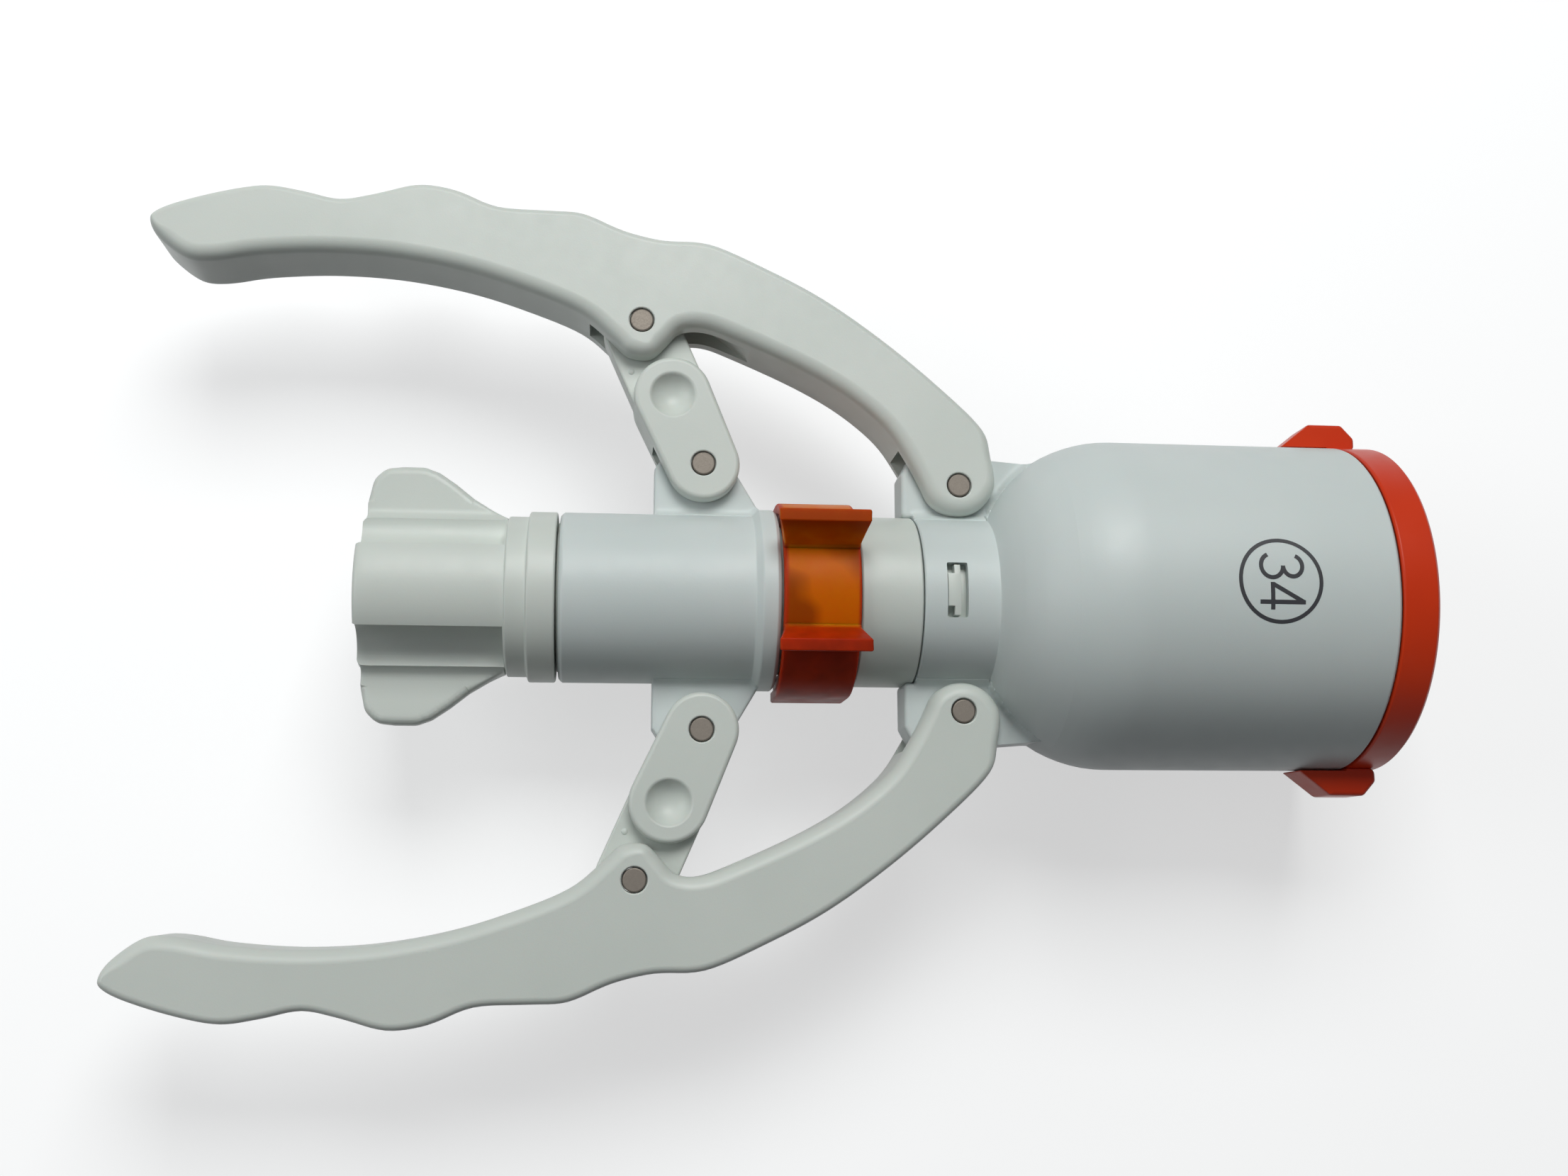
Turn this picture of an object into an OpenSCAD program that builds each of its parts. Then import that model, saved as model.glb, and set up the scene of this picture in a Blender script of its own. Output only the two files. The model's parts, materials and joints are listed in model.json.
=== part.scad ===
// Disposable circular stapler with two squeeze handles, in millimetres.
// The head, the rod and the knob share the X axis, with the head towards +X. The origin is on that
// axis, in the plane of the head's front rim. The handles close in the XY plane, and the face with
// the size number looks towards +Z.

/* [Bell and anvil] */
// Inner diameter of the bell, which is the size that the stapler is sold by
bell_d = 34; // [30:1:38]
// Wall of the bell
bell_wall = 1.2; // [1:0.1:1.5]
// Depth of the bell's straight wall behind the head's rim
bell_depth = 12; // [10.5:0.5:13]
// Gap between the head's rim and the closed anvil
tissue_gap = 0.4; // [0.3:0.1:0.8]
// Thickness of the anvil flange at the bell's mouth
flange_t = 2.8; // [2.4:0.1:3.4]
// Depth of the anvil ring and of the cutting washer
anvil_t = 1.15; // [0.9:0.05:1.3]
// How far the anvil flange stays inside the head's outer radius
flange_inset = 1; // [0.8:0.1:1.3]

/* [Head] */
// Wall of the head's cylinder
head_wall = 1.7; // [1.4:0.1:2]
// Length of the head's cylinder
head_len = 33; // [32:0.5:38]
// Length of the rounded shoulder between the cylinder and the neck
shoulder_len = 17.3; // [17:0.1:19]
// Length of the neck collar
neck_len = 10.2; // [9.5:0.1:12]
// Wall of the neck collar round the guide tube
neck_wall = 1.55; // [1.4:0.05:2.2]
// Thickness of the two lugs that carry the handles
lug_t = 6; // [5:0.2:6.4]

/* [Staples and knife] */
// Number of staples round the cartridge
staple_count = 24; // [18:1:24]
// Width of the cartridge's wall
cart_w = 2.2; // [2:0.1:2.6]
// Depth of the cartridge's face behind the head's rim
cart_recess = 1.2; // [1:0.1:1.5]
// Crown width of a staple
staple_w = 3.4; // [3:0.1:3.5]
// Leg length of a staple
staple_h = 4.6; // [4:0.1:4.8]
// Wire diameter of a staple
staple_wire = 0.3; // [0.24:0.02:0.36]
// Thickness of the ring knife
knife_t = 0.4; // [0.35:0.05:0.45]

/* [Drive] */
// Travel of the push sleeve, the pusher and the knife
stroke = 7; // [6:0.5:7.5]
// Outer diameter of the guide tube
guide_d = 20.4; // [20:0.1:20.6]
// Wall of the guide tube
guide_wall = 1.3; // [1.2:0.1:1.5]
// Length of the push sleeve
sleeve_len = 29.2; // [28:0.2:32]
// Wall of the push sleeve
sleeve_wall = 1.3; // [1.2:0.1:1.5]
// How far the sleeve's front collar stands out
sleeve_collar_h = 0.9; // [0.6:0.1:1.2]
// Thickness of the sleeve's two lugs
sleeve_lug_t = 4; // [3.4:0.1:4.2]
// Outer diameter of the pusher's tube
push_tube_d = 13; // [12.6:0.1:13.4]
// Wall of the pusher's tube
push_tube_wall = 1.5; // [1.2:0.1:1.7]
// Diameter of the pull rod
rod_d = 6; // [5.4:0.1:6.6]
// Wire diameter of the return spring
spring_wire = 1; // [0.8:0.1:1.1]
// Number of turns of the return spring
spring_turns = 8; // [6:1:10]

/* [Knob] */
// Diameter of the knob's grip
knob_d = 20.8; // [20:0.1:22]
// Length of the knob's grip
knob_grip_len = 19.4; // [18:0.2:22]
// Length of the waist between the grip and the flange
knob_waist_len = 2.8; // [2:0.2:4]
// Thickness of the knob's flange
knob_flange_t = 3.7; // [3:0.1:4.4]
// Height of the knob's wings over its grip
wing_rise = 7.2; // [6:0.2:8.6]
// Thickness of the wings
wing_t = 3; // [2.4:0.1:3.4]

/* [Handles] */
// Distance along the axis from a handle's pivot to its tip
handle_reach = 110; // [104:1:116]
// Height of a handle's highest crest over its pivot
handle_rise = 41; // [39:0.5:43]
// Thickness of the handles
handle_t = 12; // [11.6:0.2:13]
// Set-back of the handles' pivot behind the shoulder
pivot_set = 4.1; // [3.9:0.1:4.6]
// Height of the handles' pivot over the neck collar
pivot_rise = 3.8; // [3.7:0.1:4.4]
// Diameter of the steel hinge pins
pin_d = 3.2; // [2.8:0.1:3.4]

/* [Links] */
// Thickness of a link's body
link_t = 9.2; // [8.8:0.1:9.8]
// Thickness of a link's tongue in the handle
tongue_t = 4.4; // [4:0.1:4.8]
// Radius of a link's end at the sleeve
link_end_r = 5; // [4.6:0.1:5.2]
// Radius of a link's crown, round its dimple
link_crown_r = 5.35; // [5:0.05:5.5]
// Set-back of the sleeve pins behind the sleeve's front
sleeve_pin_set = 10; // [9.6:0.1:11]
// Height of the sleeve pins over the sleeve
sleeve_pin_rise = 6.6; // [6.2:0.1:7]

/* [Catch and front ring] */
// Length of the safety catch's web along the axis
catch_len = 10.2; // [9:0.2:12]
// Wall of the safety catch
catch_wall = 1.5; // [1.2:0.1:1.8]
// Height of the catch's finger grips over its saddle
catch_grip_rise = 1.2; // [0.9:0.05:2.4]
// Thickness of the front ring's plate
ring_plate_t = 1.9; // [1.5:0.1:2.4]
// How far the front ring's pull tabs stand out from the head
tab_rise = 3.6; // [2.6:0.1:5]

/* [Hidden] */
$fn = 96;

// Running clearances, fits and the overrun of every cut
run_gap = 0.25;
pin_fit = 0.05;
slide_fit = 0.1;
side_gap = 0.3;
over = 0.5;

// Radii, from the bell outwards
bell_r = bell_d / 2;
bell_out_r = bell_r + bell_wall;
knife_gap = 0.15;
knife_in_r = bell_out_r + knife_gap;
knife_out_r = knife_in_r + knife_t;
cart_in_r = knife_out_r + run_gap;
cart_out_r = cart_in_r + cart_w;
head_in_r = cart_out_r + slide_fit;
head_r = head_in_r + head_wall;
flange_r = head_r - flange_inset;
flange_lip = 0.35;
guide_r = guide_d / 2;
guide_in_r = guide_r - guide_wall;
neck_r = guide_r + pin_fit + neck_wall;
sleeve_in_r = guide_r + slide_fit;
sleeve_r = sleeve_in_r + sleeve_wall;
push_tube_r = push_tube_d / 2;
push_bore_r = push_tube_r - push_tube_wall;
rod_r = rod_d / 2;
pin_r = pin_d / 2;
pin_hole_r = pin_r + pin_fit;

// Places along the axis, from the head's rim backwards
anvil_x = tissue_gap;
pusher_gap = 0.5;
cart_len = bell_depth - cart_recess - pusher_gap;
mouth_x = anvil_x + flange_t;
shoulder_x = -head_len;
neck_front_x = shoulder_x - shoulder_len;
neck_rear_x = neck_front_x - neck_len;
tube_seat = 1.2;
tube_front_x = neck_front_x - tube_seat;
catch_front_x = neck_rear_x - stroke - side_gap;
grip_overhang = 1.4;
web_front_x = catch_front_x - grip_overhang;
catch_rear_x = web_front_x - catch_len;
sleeve_front_x = catch_rear_x - 2 * slide_fit;
sleeve_rear_x = sleeve_front_x - sleeve_len;
tube_rear_x = sleeve_rear_x - 2 * slide_fit;
knob_front_x = tube_rear_x - 2 * slide_fit;
knob_flange_x = knob_front_x - knob_flange_t;
knob_grip_x = knob_flange_x - knob_waist_len;
knob_rear_x = knob_grip_x - knob_grip_len;

// Hinge axes, as [x, y] of the upper side, with the lower side as their mirror image
pivot = [neck_front_x - pivot_set, neck_r + pivot_rise];
link_pin_shares = [-0.399, 0.544];
link_pin = pivot + [link_pin_shares[0] * handle_reach, link_pin_shares[1] * handle_rise];
sleeve_pin = [sleeve_front_x - sleeve_pin_set, sleeve_r + sleeve_pin_rise];
link_vector = link_pin - sleeve_pin;
link_reach = norm(link_vector);
link_angle = atan2(link_vector[1], link_vector[0]);

// Points from the end of one arc to the other, with n steps
function arc(centre, r, from, to, n) =
    [for (i = [0 : n]) centre + r * [cos(from + (to - from) * i / n), sin(from + (to - from) * i / n)]];

// One point of a smooth closed curve, a share t past the second of four neighbours
function curve_point(a, b, c, d, t) =
    (2 * b + (c - a) * t + (2 * a - 5 * b + 4 * c - d) * t * t
        + (3 * b - a - 3 * c + d) * t * t * t) / 2;

// A smooth closed curve through its points, with n steps between two of them
function smooth(points, n) = let (count = len(points))
    [for (i = [0 : count - 1], j = [0 : n - 1])
        curve_point(points[(i + count - 1) % count], points[i], points[(i + 1) % count],
            points[(i + 2) % count], j / n)];

// A solid turned about the X axis, from an outline with radius across and X up
module turned() {
    rotate([0, 90, 0])
        rotate_extrude()
            children();
}

// A tube or a disc on the axis between two places
module ring(inner_r, outer_r, from_x, to_x) {
    turned()
        polygon([[inner_r, from_x], [outer_r, from_x], [outer_r, to_x], [inner_r, to_x]]);
}

// A round bar on the axis between two places
module bar(r, from_x, to_x) {
    translate([from_x, 0, 0])
        rotate([0, 90, 0])
            cylinder(r = r, h = to_x - from_x);
}

// A plate of thickness t, centred on the XY plane
module plate(t) {
    translate([0, 0, -t / 2])
        linear_extrude(height = t)
            children();
}

// A cylinder of height h across the XY plane at a hinge axis
module post(place, r, h) {
    translate([place[0], place[1], -h / 2])
        cylinder(r = r, h = h);
}

// An outline round two circles on the X axis, the first at zero and the second at reach
module two_circles(reach, first_r, second_r) {
    lean = acos((first_r - second_r) / reach);
    polygon(concat(
        arc([0, 0], first_r, lean, 360 - lean, 16),
        arc([reach, 0], second_r, -lean, lean, 16)
    ));
}

// Repeats its children round the X axis
module round_axis(count) {
    for (i = [0 : count - 1])
        rotate([360 * i / count, 0, 0])
            children();
}

// The shoulder's arc, tangent to the head's cylinder, inset by a wall
shoulder_drop = head_r - neck_r;
shoulder_r = (shoulder_len * shoulder_len + shoulder_drop * shoulder_drop) / (2 * shoulder_drop);
shoulder_steps = 14;

function shoulder_arc(inset, end_r) = let (
        centre = [head_r - shoulder_r, shoulder_x],
        r = shoulder_r - inset,
        last = -acos((end_r - centre[0]) / r))
    arc(centre, r, 0, last, shoulder_steps);

// The head, its shoulder, the neck collar and the lugs that carry the handles
neck_bore_gap = 0.2;
neck_bore_r = push_tube_r + neck_bore_gap;
rim_chamfer = 0.4;
seam_chamfer = 0.2;
lug_rear = 1.5;
lug_over = 5.2;
lug_slope = 3.2;
lug_slope_x = 1.7;
lug_front = 5;
snap_x = 4.4;
snap_len = 2.8;
snap_w = 7.4;

module head_outline() {
    cavity = shoulder_arc(head_wall, neck_bore_r);
    polygon(concat(
        [[head_in_r, 0], [head_r - rim_chamfer, 0], [head_r, -rim_chamfer]],
        shoulder_arc(0, neck_r),
        [[neck_r, neck_rear_x + seam_chamfer], [neck_r - seam_chamfer, neck_rear_x],
            [guide_r + pin_fit, neck_rear_x], [guide_r + pin_fit, tube_front_x],
            [neck_bore_r, tube_front_x]],
        [for (i = [shoulder_steps : -1 : 0]) cavity[i]]
    ));
}

module head_cavity() {
    cavity = shoulder_arc(head_wall, neck_bore_r);
    turned()
        polygon(concat([[0, over], [head_in_r, over]], cavity,
            [[neck_bore_r, tube_front_x], [guide_r + pin_fit, tube_front_x],
                [guide_r + pin_fit, neck_rear_x], [neck_r + pin_fit, neck_rear_x],
                [neck_r + pin_fit, neck_rear_x - 2 * lug_rear],
                [0, neck_rear_x - 2 * lug_rear]]));
}

module housing_lug() {
    lug_top = pivot[1] + lug_over;
    plate(lug_t)
        polygon([
            [neck_rear_x - lug_rear, guide_in_r],
            [neck_rear_x - lug_rear, lug_top - lug_slope],
            [neck_rear_x - lug_rear + lug_slope_x, lug_top],
            [shoulder_x - lug_front, lug_top],
            [shoulder_x - lug_front, guide_in_r]
        ]);
}

module head_housing() {
    color("honeydew")
        difference() {
            union() {
                turned()
                    head_outline();
                difference() {
                    union() {
                        housing_lug();
                        mirror([0, 1, 0])
                            housing_lug();
                    }
                    head_cavity();
                }
            }
            for (side = [1, -1]) {
                post([pivot[0], side * pivot[1]], pin_hole_r, lug_t + 2 * over);
                translate([neck_rear_x + snap_x - snap_len / 2, -snap_w / 2,
                        side > 0 ? guide_in_r : -head_r])
                    cube([snap_len, snap_w, head_r - guide_in_r]);
            }
        }
}

// The tube that the push sleeve slides on, with a shoulder, hooked snap tabs and key slots
snap_rise = 1.1;
snap_hook = 0.8;
snap_open = 0.9;
snap_step = 1.2;
shoulder_rear_x = web_front_x + side_gap;
key_r = 1.8;
key_set = 12.4;
key_x = sleeve_front_x - key_set;
groove_set = 2.6;
clip_t = 1;
clip_x = tube_rear_x + groove_set;
clip_rim = 0.45;

module key_slot() {
    slot_r = key_r + slide_fit;
    for (x = [key_x - side_gap, key_x + stroke + side_gap])
        translate([x, 0, -guide_r - over])
            cylinder(r = slot_r, h = 2 * guide_r + 2 * over);
    translate([key_x - side_gap, -slot_r, -guide_r - over])
        cube([stroke + 2 * side_gap, 2 * slot_r, 2 * guide_r + 2 * over]);
}

module snap_tab() {
    tab_x = neck_rear_x + snap_x - snap_len / 2 + slide_fit;
    tab_w = snap_w - 2 * side_gap;
    linear_extrude(height = guide_wall / 2 + snap_rise)
        polygon([
            [tab_x, snap_step - tab_w / 2],
            [tab_x + snap_open, snap_step - tab_w / 2],
            [tab_x + snap_open, -tab_w / 2],
            [tab_x + snap_open + snap_hook, -tab_w / 2],
            [tab_x + snap_open + snap_hook, tab_w / 2],
            [tab_x + snap_open, tab_w / 2],
            [tab_x + snap_open, tab_w / 2 - snap_step],
            [tab_x, tab_w / 2 - snap_step]
        ]);
}

module guide_tube() {
    color("mintcream")
        union() {
            difference() {
                turned()
                    polygon([
                        [guide_in_r, tube_rear_x],
                        [guide_r, tube_rear_x],
                        [guide_r, shoulder_rear_x],
                        [neck_r - seam_chamfer, shoulder_rear_x],
                        [neck_r, shoulder_rear_x + seam_chamfer],
                        [neck_r, neck_rear_x - slide_fit - seam_chamfer],
                        [neck_r - seam_chamfer, neck_rear_x - slide_fit],
                        [guide_r, neck_rear_x - slide_fit],
                        [guide_r, tube_front_x],
                        [guide_in_r, tube_front_x]
                    ]);
                key_slot();
                ring(guide_in_r - over, guide_in_r + clip_rim, clip_x - slide_fit,
                    clip_x + clip_t + slide_fit);
            }
            for (side = [1, -1])
                translate([0, 0, side > 0 ? guide_r - guide_wall / 2 : -guide_r - snap_rise])
                    snap_tab();
        }
}

// The sleeve that the links push forwards, with a collar and a lug for each link
sleeve_collar_len = 2.4;
collar_round = 0.5;
open_pivot_gap = 1.3;
lug_eye_wall = 1.7;
lug_eye_r = pin_r + open_pivot_gap + lug_eye_wall;
lug_back = 6.6;
lug_toe = 9.2;
lug_corner = 0.3;
lug_brow_shares = [0.62, 0.55];
lug_chin_shares = [0.75, 0.2];
key_pocket = 0.8;

module sleeve_lug() {
    difference() {
        plate(sleeve_lug_t) {
            translate(sleeve_pin)
                circle(r = lug_eye_r);
            polygon([
                [sleeve_pin[0] - lug_back, guide_r],
                [sleeve_pin[0] - lug_back, sleeve_pin[1] - lug_corner],
                sleeve_pin + [-lug_back * lug_brow_shares[0], lug_back * lug_brow_shares[1]],
                sleeve_pin + [lug_eye_r * lug_chin_shares[0], lug_eye_r * lug_chin_shares[1]],
                [sleeve_pin[0] + lug_toe, sleeve_r],
                [sleeve_pin[0] + lug_toe, guide_r]
            ]);
        }
        bar(sleeve_in_r + sleeve_wall / 2, sleeve_rear_x - over, sleeve_front_x + over);
        post(sleeve_pin, pin_r + open_pivot_gap, sleeve_lug_t + 2 * over);
    }
}

module push_sleeve() {
    collar_r = sleeve_r + sleeve_collar_h;
    color("azure")
        union() {
            difference() {
                turned()
                    polygon([
                        [sleeve_in_r, sleeve_rear_x],
                        [sleeve_r - collar_round, sleeve_rear_x],
                        [sleeve_r, sleeve_rear_x + collar_round],
                        [sleeve_r, sleeve_front_x - sleeve_collar_len - sleeve_collar_h],
                        [collar_r, sleeve_front_x - sleeve_collar_len],
                        [collar_r, sleeve_front_x - collar_round],
                        [collar_r - collar_round, sleeve_front_x],
                        [sleeve_in_r, sleeve_front_x]
                    ]);
                for (turn = [0, 180])
                    rotate([turn, 0, 0])
                        translate([key_x, 0, sleeve_in_r - over])
                            cylinder(r = key_r + pin_fit, h = key_pocket + over);
            }
            sleeve_lug();
            mirror([0, 1, 0])
                sleeve_lug();
        }
}

// Two keys that carry the sleeve's push through the guide tube to the pusher
key_foot = 0.4;

module drive_keys() {
    color("silver")
        for (turn = [0, 180])
            rotate([turn, 0, 0])
                translate([key_x, 0, push_bore_r + key_foot])
                    cylinder(r = key_r, h = sleeve_in_r + key_pocket - pin_fit - push_bore_r - key_foot);
}

// The pusher: a cup behind the bell, a ring of fingers behind the staples, and a tube
cup_x = -bell_depth - stroke;
cup_wall = 1.6;
cup_in_r = bell_out_r + run_gap;
cup_out_r = cup_in_r + cup_wall;
push_ring_r = head_in_r - run_gap;
push_ring_len = 5;
finger_tip_x = -cart_recess - stroke - pusher_gap;
finger_w = staple_w + 2 * slide_fit;
slot_side = 0.2;
finger_t = 1.3;
finger_r = (cart_in_r + cart_out_r) / 2;
key_collar_r = guide_in_r - run_gap;
key_collar_len = 5;
key_collar_x = key_x - key_collar_len / 2;
knife_seat = 1.4;
knife_seat_x = cup_x - knife_seat;

module pusher() {
    color("lightsteelblue")
        difference() {
            union() {
                turned()
                    difference() {
                        union() {
                            intersection() {
                                translate([0, cup_x])
                                    circle(r = cup_out_r);
                                translate([0, cup_x - cup_out_r])
                                    square([cup_out_r, cup_out_r]);
                            }
                            translate([0, cup_x - push_ring_len])
                                square([push_ring_r, push_ring_len]);
                            translate([0, key_collar_x])
                                square([push_tube_r, cup_x - cup_in_r - key_collar_x]);
                            translate([0, key_collar_x])
                                square([key_collar_r, key_collar_len]);
                        }
                        intersection() {
                            translate([0, cup_x])
                                circle(r = cup_in_r);
                            translate([0, cup_x - cup_in_r])
                                square([cup_in_r, 2 * cup_in_r]);
                        }
                        translate([0, knife_seat_x])
                            square([knife_out_r + pin_fit, knife_seat + over]);
                        translate([0, key_collar_x - over])
                            square([push_bore_r, cup_x - key_collar_x]);
                    }
                round_axis(staple_count)
                    translate([cup_x - over, -finger_w / 2, finger_r - finger_t / 2])
                        cube([finger_tip_x - cup_x + over, finger_w, finger_t]);
            }
            for (turn = [0, 180])
                rotate([turn, 0, 0])
                    translate([key_x, 0, push_bore_r + key_foot - pin_fit])
                        cylinder(r = key_r + pin_fit, h = key_collar_r);
        }
}

// The round blade inside the ring of staples, with its bevelled edge
knife_end_gap = 0.05;
knife_bevel = 0.8;
knife_edge_share = 0.2;
knife_tip_x = anvil_x - stroke - knife_end_gap;

module ring_knife() {
    color("lightgray")
        turned()
            polygon([
                [knife_in_r, knife_seat_x + pin_fit],
                [knife_out_r, knife_seat_x + pin_fit],
                [knife_out_r, knife_tip_x - knife_bevel],
                [knife_in_r + knife_t * knife_edge_share, knife_tip_x],
                [knife_in_r, knife_tip_x]
            ]);
}

// The cartridge that holds the staples, one slot for each
slot_w = finger_w + 2 * slot_side;
slot_t = finger_t + 2 * slide_fit;

module staple_cartridge() {
    color("white")
        difference() {
            ring(cart_in_r, cart_out_r, -cart_recess - cart_len, -cart_recess);
            round_axis(staple_count)
                translate([-cart_recess - cart_len - over, -slot_w / 2, finger_r - slot_t / 2])
                    cube([cart_len + 2 * over, slot_w, slot_t]);
        }
}

// The staples, each an open square of wire with its crown against a finger
crown_x = finger_tip_x + staple_wire / 2 + slide_fit;

module staple() {
    wire_r = staple_wire / 2;
    leg_y = staple_w / 2 - wire_r;
    translate([crown_x, -leg_y - wire_r, finger_r])
        rotate([-90, 0, 0])
            cylinder(r = wire_r, h = 2 * leg_y + staple_wire, $fn = 24);
    for (y = [-leg_y, leg_y])
        translate([crown_x, y, finger_r])
            rotate([0, 90, 0])
                cylinder(r = wire_r, h = staple_h - wire_r, $fn = 24);
}

module staples() {
    color("gainsboro")
        round_axis(staple_count)
            staple();
}

// The return spring round the pusher's tube, between the neck and the key collar
spring_rings = 12;
spring_sides = 6;
spring_r = (guide_in_r + push_tube_r) / 2;
spring_front_x = tube_front_x - spring_wire / 2 - slide_fit;
spring_rear_x = key_collar_x + key_collar_len + spring_wire / 2 + slide_fit;

function spring_point(turn) = [
    spring_rear_x + (spring_front_x - spring_rear_x) * turn / spring_turns,
    spring_r * sin(360 * turn), spring_r * cos(360 * turn)];

module return_spring() {
    steps = spring_turns * spring_rings;
    lead = spring_front_x - spring_rear_x;
    slope = atan2(lead / spring_turns, 360 * spring_r * PI / 180);
    points = [for (i = [0 : steps], j = [0 : spring_sides - 1]) let (
            turn = i / spring_rings,
            out = [0, sin(360 * turn), cos(360 * turn)],
            side = [cos(slope), -sin(slope) * cos(360 * turn), sin(slope) * sin(360 * turn)],
            a = 360 * j / spring_sides)
        spring_point(turn) + spring_wire / 2 * (out * cos(a) + side * sin(a))];
    skin = [for (i = [0 : steps - 1], j = [0 : spring_sides - 1]) let (
            a = i * spring_sides + j,
            b = i * spring_sides + (j + 1) % spring_sides)
        each [[a, b, b + spring_sides], [a, b + spring_sides, a + spring_sides]]];
    ends = [for (j = [1 : spring_sides - 2])
        each [[0, j + 1, j], [0, j, j + 1] + steps * spring_sides * [1, 1, 1]]];
    color("darkgray")
        polyhedron(points = points, faces = concat(skin, ends));
}

// The bell with its anvil flange and the boss that takes the rod
boss_r = 4.5;
boss_len = 4.8;
rod_end_wall = 1;
flange_web = flange_t - anvil_t - pin_fit;

module bell_cup() {
    boss_x = -bell_depth - bell_out_r - boss_len;
    color("white")
        turned()
            difference() {
                union() {
                    intersection() {
                        translate([0, -bell_depth])
                            circle(r = bell_out_r);
                        translate([0, -bell_depth - bell_out_r])
                            square([bell_out_r, bell_out_r]);
                    }
                    translate([0, -bell_depth])
                        square([bell_out_r, mouth_x + bell_depth]);
                    translate([0, mouth_x - flange_web])
                        square([flange_r, flange_web]);
                    translate([flange_r - flange_lip, anvil_x])
                        square([flange_lip, flange_t]);
                    translate([0, boss_x])
                        square([boss_r, boss_len + bell_wall]);
                }
                translate([0, -bell_depth])
                    intersection() {
                        circle(r = bell_r);
                        translate([0, -bell_r])
                            square([bell_r, 2 * bell_r]);
                    }
                translate([0, -bell_depth])
                    square([bell_r, mouth_x + bell_depth + over]);
                translate([0, boss_x - over])
                    square([rod_r + pin_fit, boss_len + over - rod_end_wall]);
            }
}

// The steel ring that clinches the staples, with two shallow pockets for each
pocket_d = 0.35;
pocket_t = 0.8;
pocket_w = 1.3;
washer_w = 0.7;
washer_out_r = bell_out_r + pin_fit + washer_w;

module anvil_ring() {
    color("silver")
        difference() {
            ring(washer_out_r + pin_fit, flange_r - flange_lip - pin_fit, anvil_x, anvil_x + anvil_t);
            round_axis(staple_count)
                for (y = [-staple_w / 2, staple_w / 2 - pocket_w])
                    translate([anvil_x - over, y, finger_r - pocket_t / 2])
                        cube([over + pocket_d, pocket_w, pocket_t]);
        }
}

// The soft washer that the knife cuts against
module cutting_washer() {
    color("palegoldenrod")
        ring(bell_out_r + pin_fit, washer_out_r, anvil_x, anvil_x + anvil_t);
}

// The rod between the bell and the knob, with a waist in front of its threaded tail
rod_front_x = -bell_depth - bell_out_r - rod_end_wall - pin_fit;
rod_tail_wall = 4.1;
rod_rear_x = knob_rear_x + rod_tail_wall;
thread_len = 26;
waist_len = 1.6;
waist_cut = 0.4;
rod_chamfer = 0.6;

module pull_rod() {
    thread_x = rod_rear_x + thread_len;
    color("silver")
        turned()
            polygon([
                [0, rod_rear_x],
                [rod_r - rod_chamfer, rod_rear_x],
                [rod_r, rod_rear_x + rod_chamfer],
                [rod_r, thread_x],
                [rod_r - waist_cut, thread_x + waist_cut],
                [rod_r - waist_cut, thread_x + waist_len],
                [rod_r, thread_x + waist_len + waist_cut],
                [rod_r, rod_front_x - rod_chamfer],
                [rod_r - rod_chamfer, rod_front_x],
                [0, rod_front_x]
            ]);
}

// The knob: a spigot in the guide tube, a flange, a waist and a winged grip with four flutes
spigot_r = guide_in_r - run_gap;
spigot_len = 6;
clip_groove = 0.75;
flange_out_r = sleeve_r;
knob_waist_r = 10.9;
knob_round = 1.6;
knob_wall = 1.9;
knob_bore_r = rod_r + side_gap;
nut_pocket_len = 9;
nut_flats = 10;
flute_r = 4.1;
flute_out = 1.02;
flute_angle = 52.5;
wing_shares = [
    [0.03, 0.3], [0.015, 0.72], [0.05, 0.9], [0.13, 0.985], [0.25, 1], [0.4, 1],
    [0.5, 0.96], [0.62, 0.87], [0.75, 0.755], [0.88, 0.665], [0.99, 0.6], [0.99, 0.3]
];

module nut_prism(across, from_x, to_x) {
    translate([from_x, 0, 0])
        rotate([0, 90, 0])
            cylinder(r = across / 2 / cos(30), h = to_x - from_x, $fn = 6);
}

module wing() {
    wing_reach = knob_d / 2 + wing_rise;
    plate(wing_t)
        polygon([for (p = wing_shares) [knob_rear_x + p[0] * knob_grip_len, p[1] * wing_reach]]);
}

module adjusting_knob() {
    grip_r = knob_d / 2;
    spigot_x = knob_front_x + spigot_len;
    color("ghostwhite")
        difference() {
            union() {
                turned()
                    polygon(concat(
                        [[0, knob_rear_x]],
                        arc([grip_r - knob_round, knob_rear_x + knob_round], knob_round, -90, 0, 5),
                        [[grip_r, knob_grip_x], [knob_waist_r, knob_grip_x],
                            [knob_waist_r, knob_flange_x], [flange_out_r, knob_flange_x],
                            [flange_out_r, knob_front_x], [spigot_r, knob_front_x],
                            [spigot_r, clip_x - pin_fit], [spigot_r - clip_groove, clip_x - pin_fit],
                            [spigot_r - clip_groove, clip_x + clip_t + pin_fit],
                            [spigot_r, clip_x + clip_t + pin_fit],
                            [spigot_r, spigot_x], [0, spigot_x]]
                    ));
                wing();
                mirror([0, 1, 0])
                    wing();
            }
            for (a = [flute_angle, -flute_angle, 180 - flute_angle, 180 + flute_angle])
                rotate([a, 0, 0])
                    translate([0, 0, grip_r + flute_out])
                        bar(flute_r, knob_rear_x - over, knob_grip_x - slide_fit);
            bar(knob_bore_r, knob_rear_x + knob_wall, spigot_x + over);
            nut_prism(nut_flats + 2 * slide_fit, spigot_x - nut_pocket_len, spigot_x + over);
        }
}

// The steel nut in the knob, through which the rod's thread runs
nut_len = 8.6;

module knob_nut() {
    nut_x = knob_front_x + spigot_len - nut_pocket_len + pin_fit;
    color("darkgoldenrod")
        difference() {
            nut_prism(nut_flats, nut_x, nut_x + nut_len);
            bar(rod_r + pin_fit, nut_x - over, nut_x + nut_len + over);
        }
}

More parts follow.
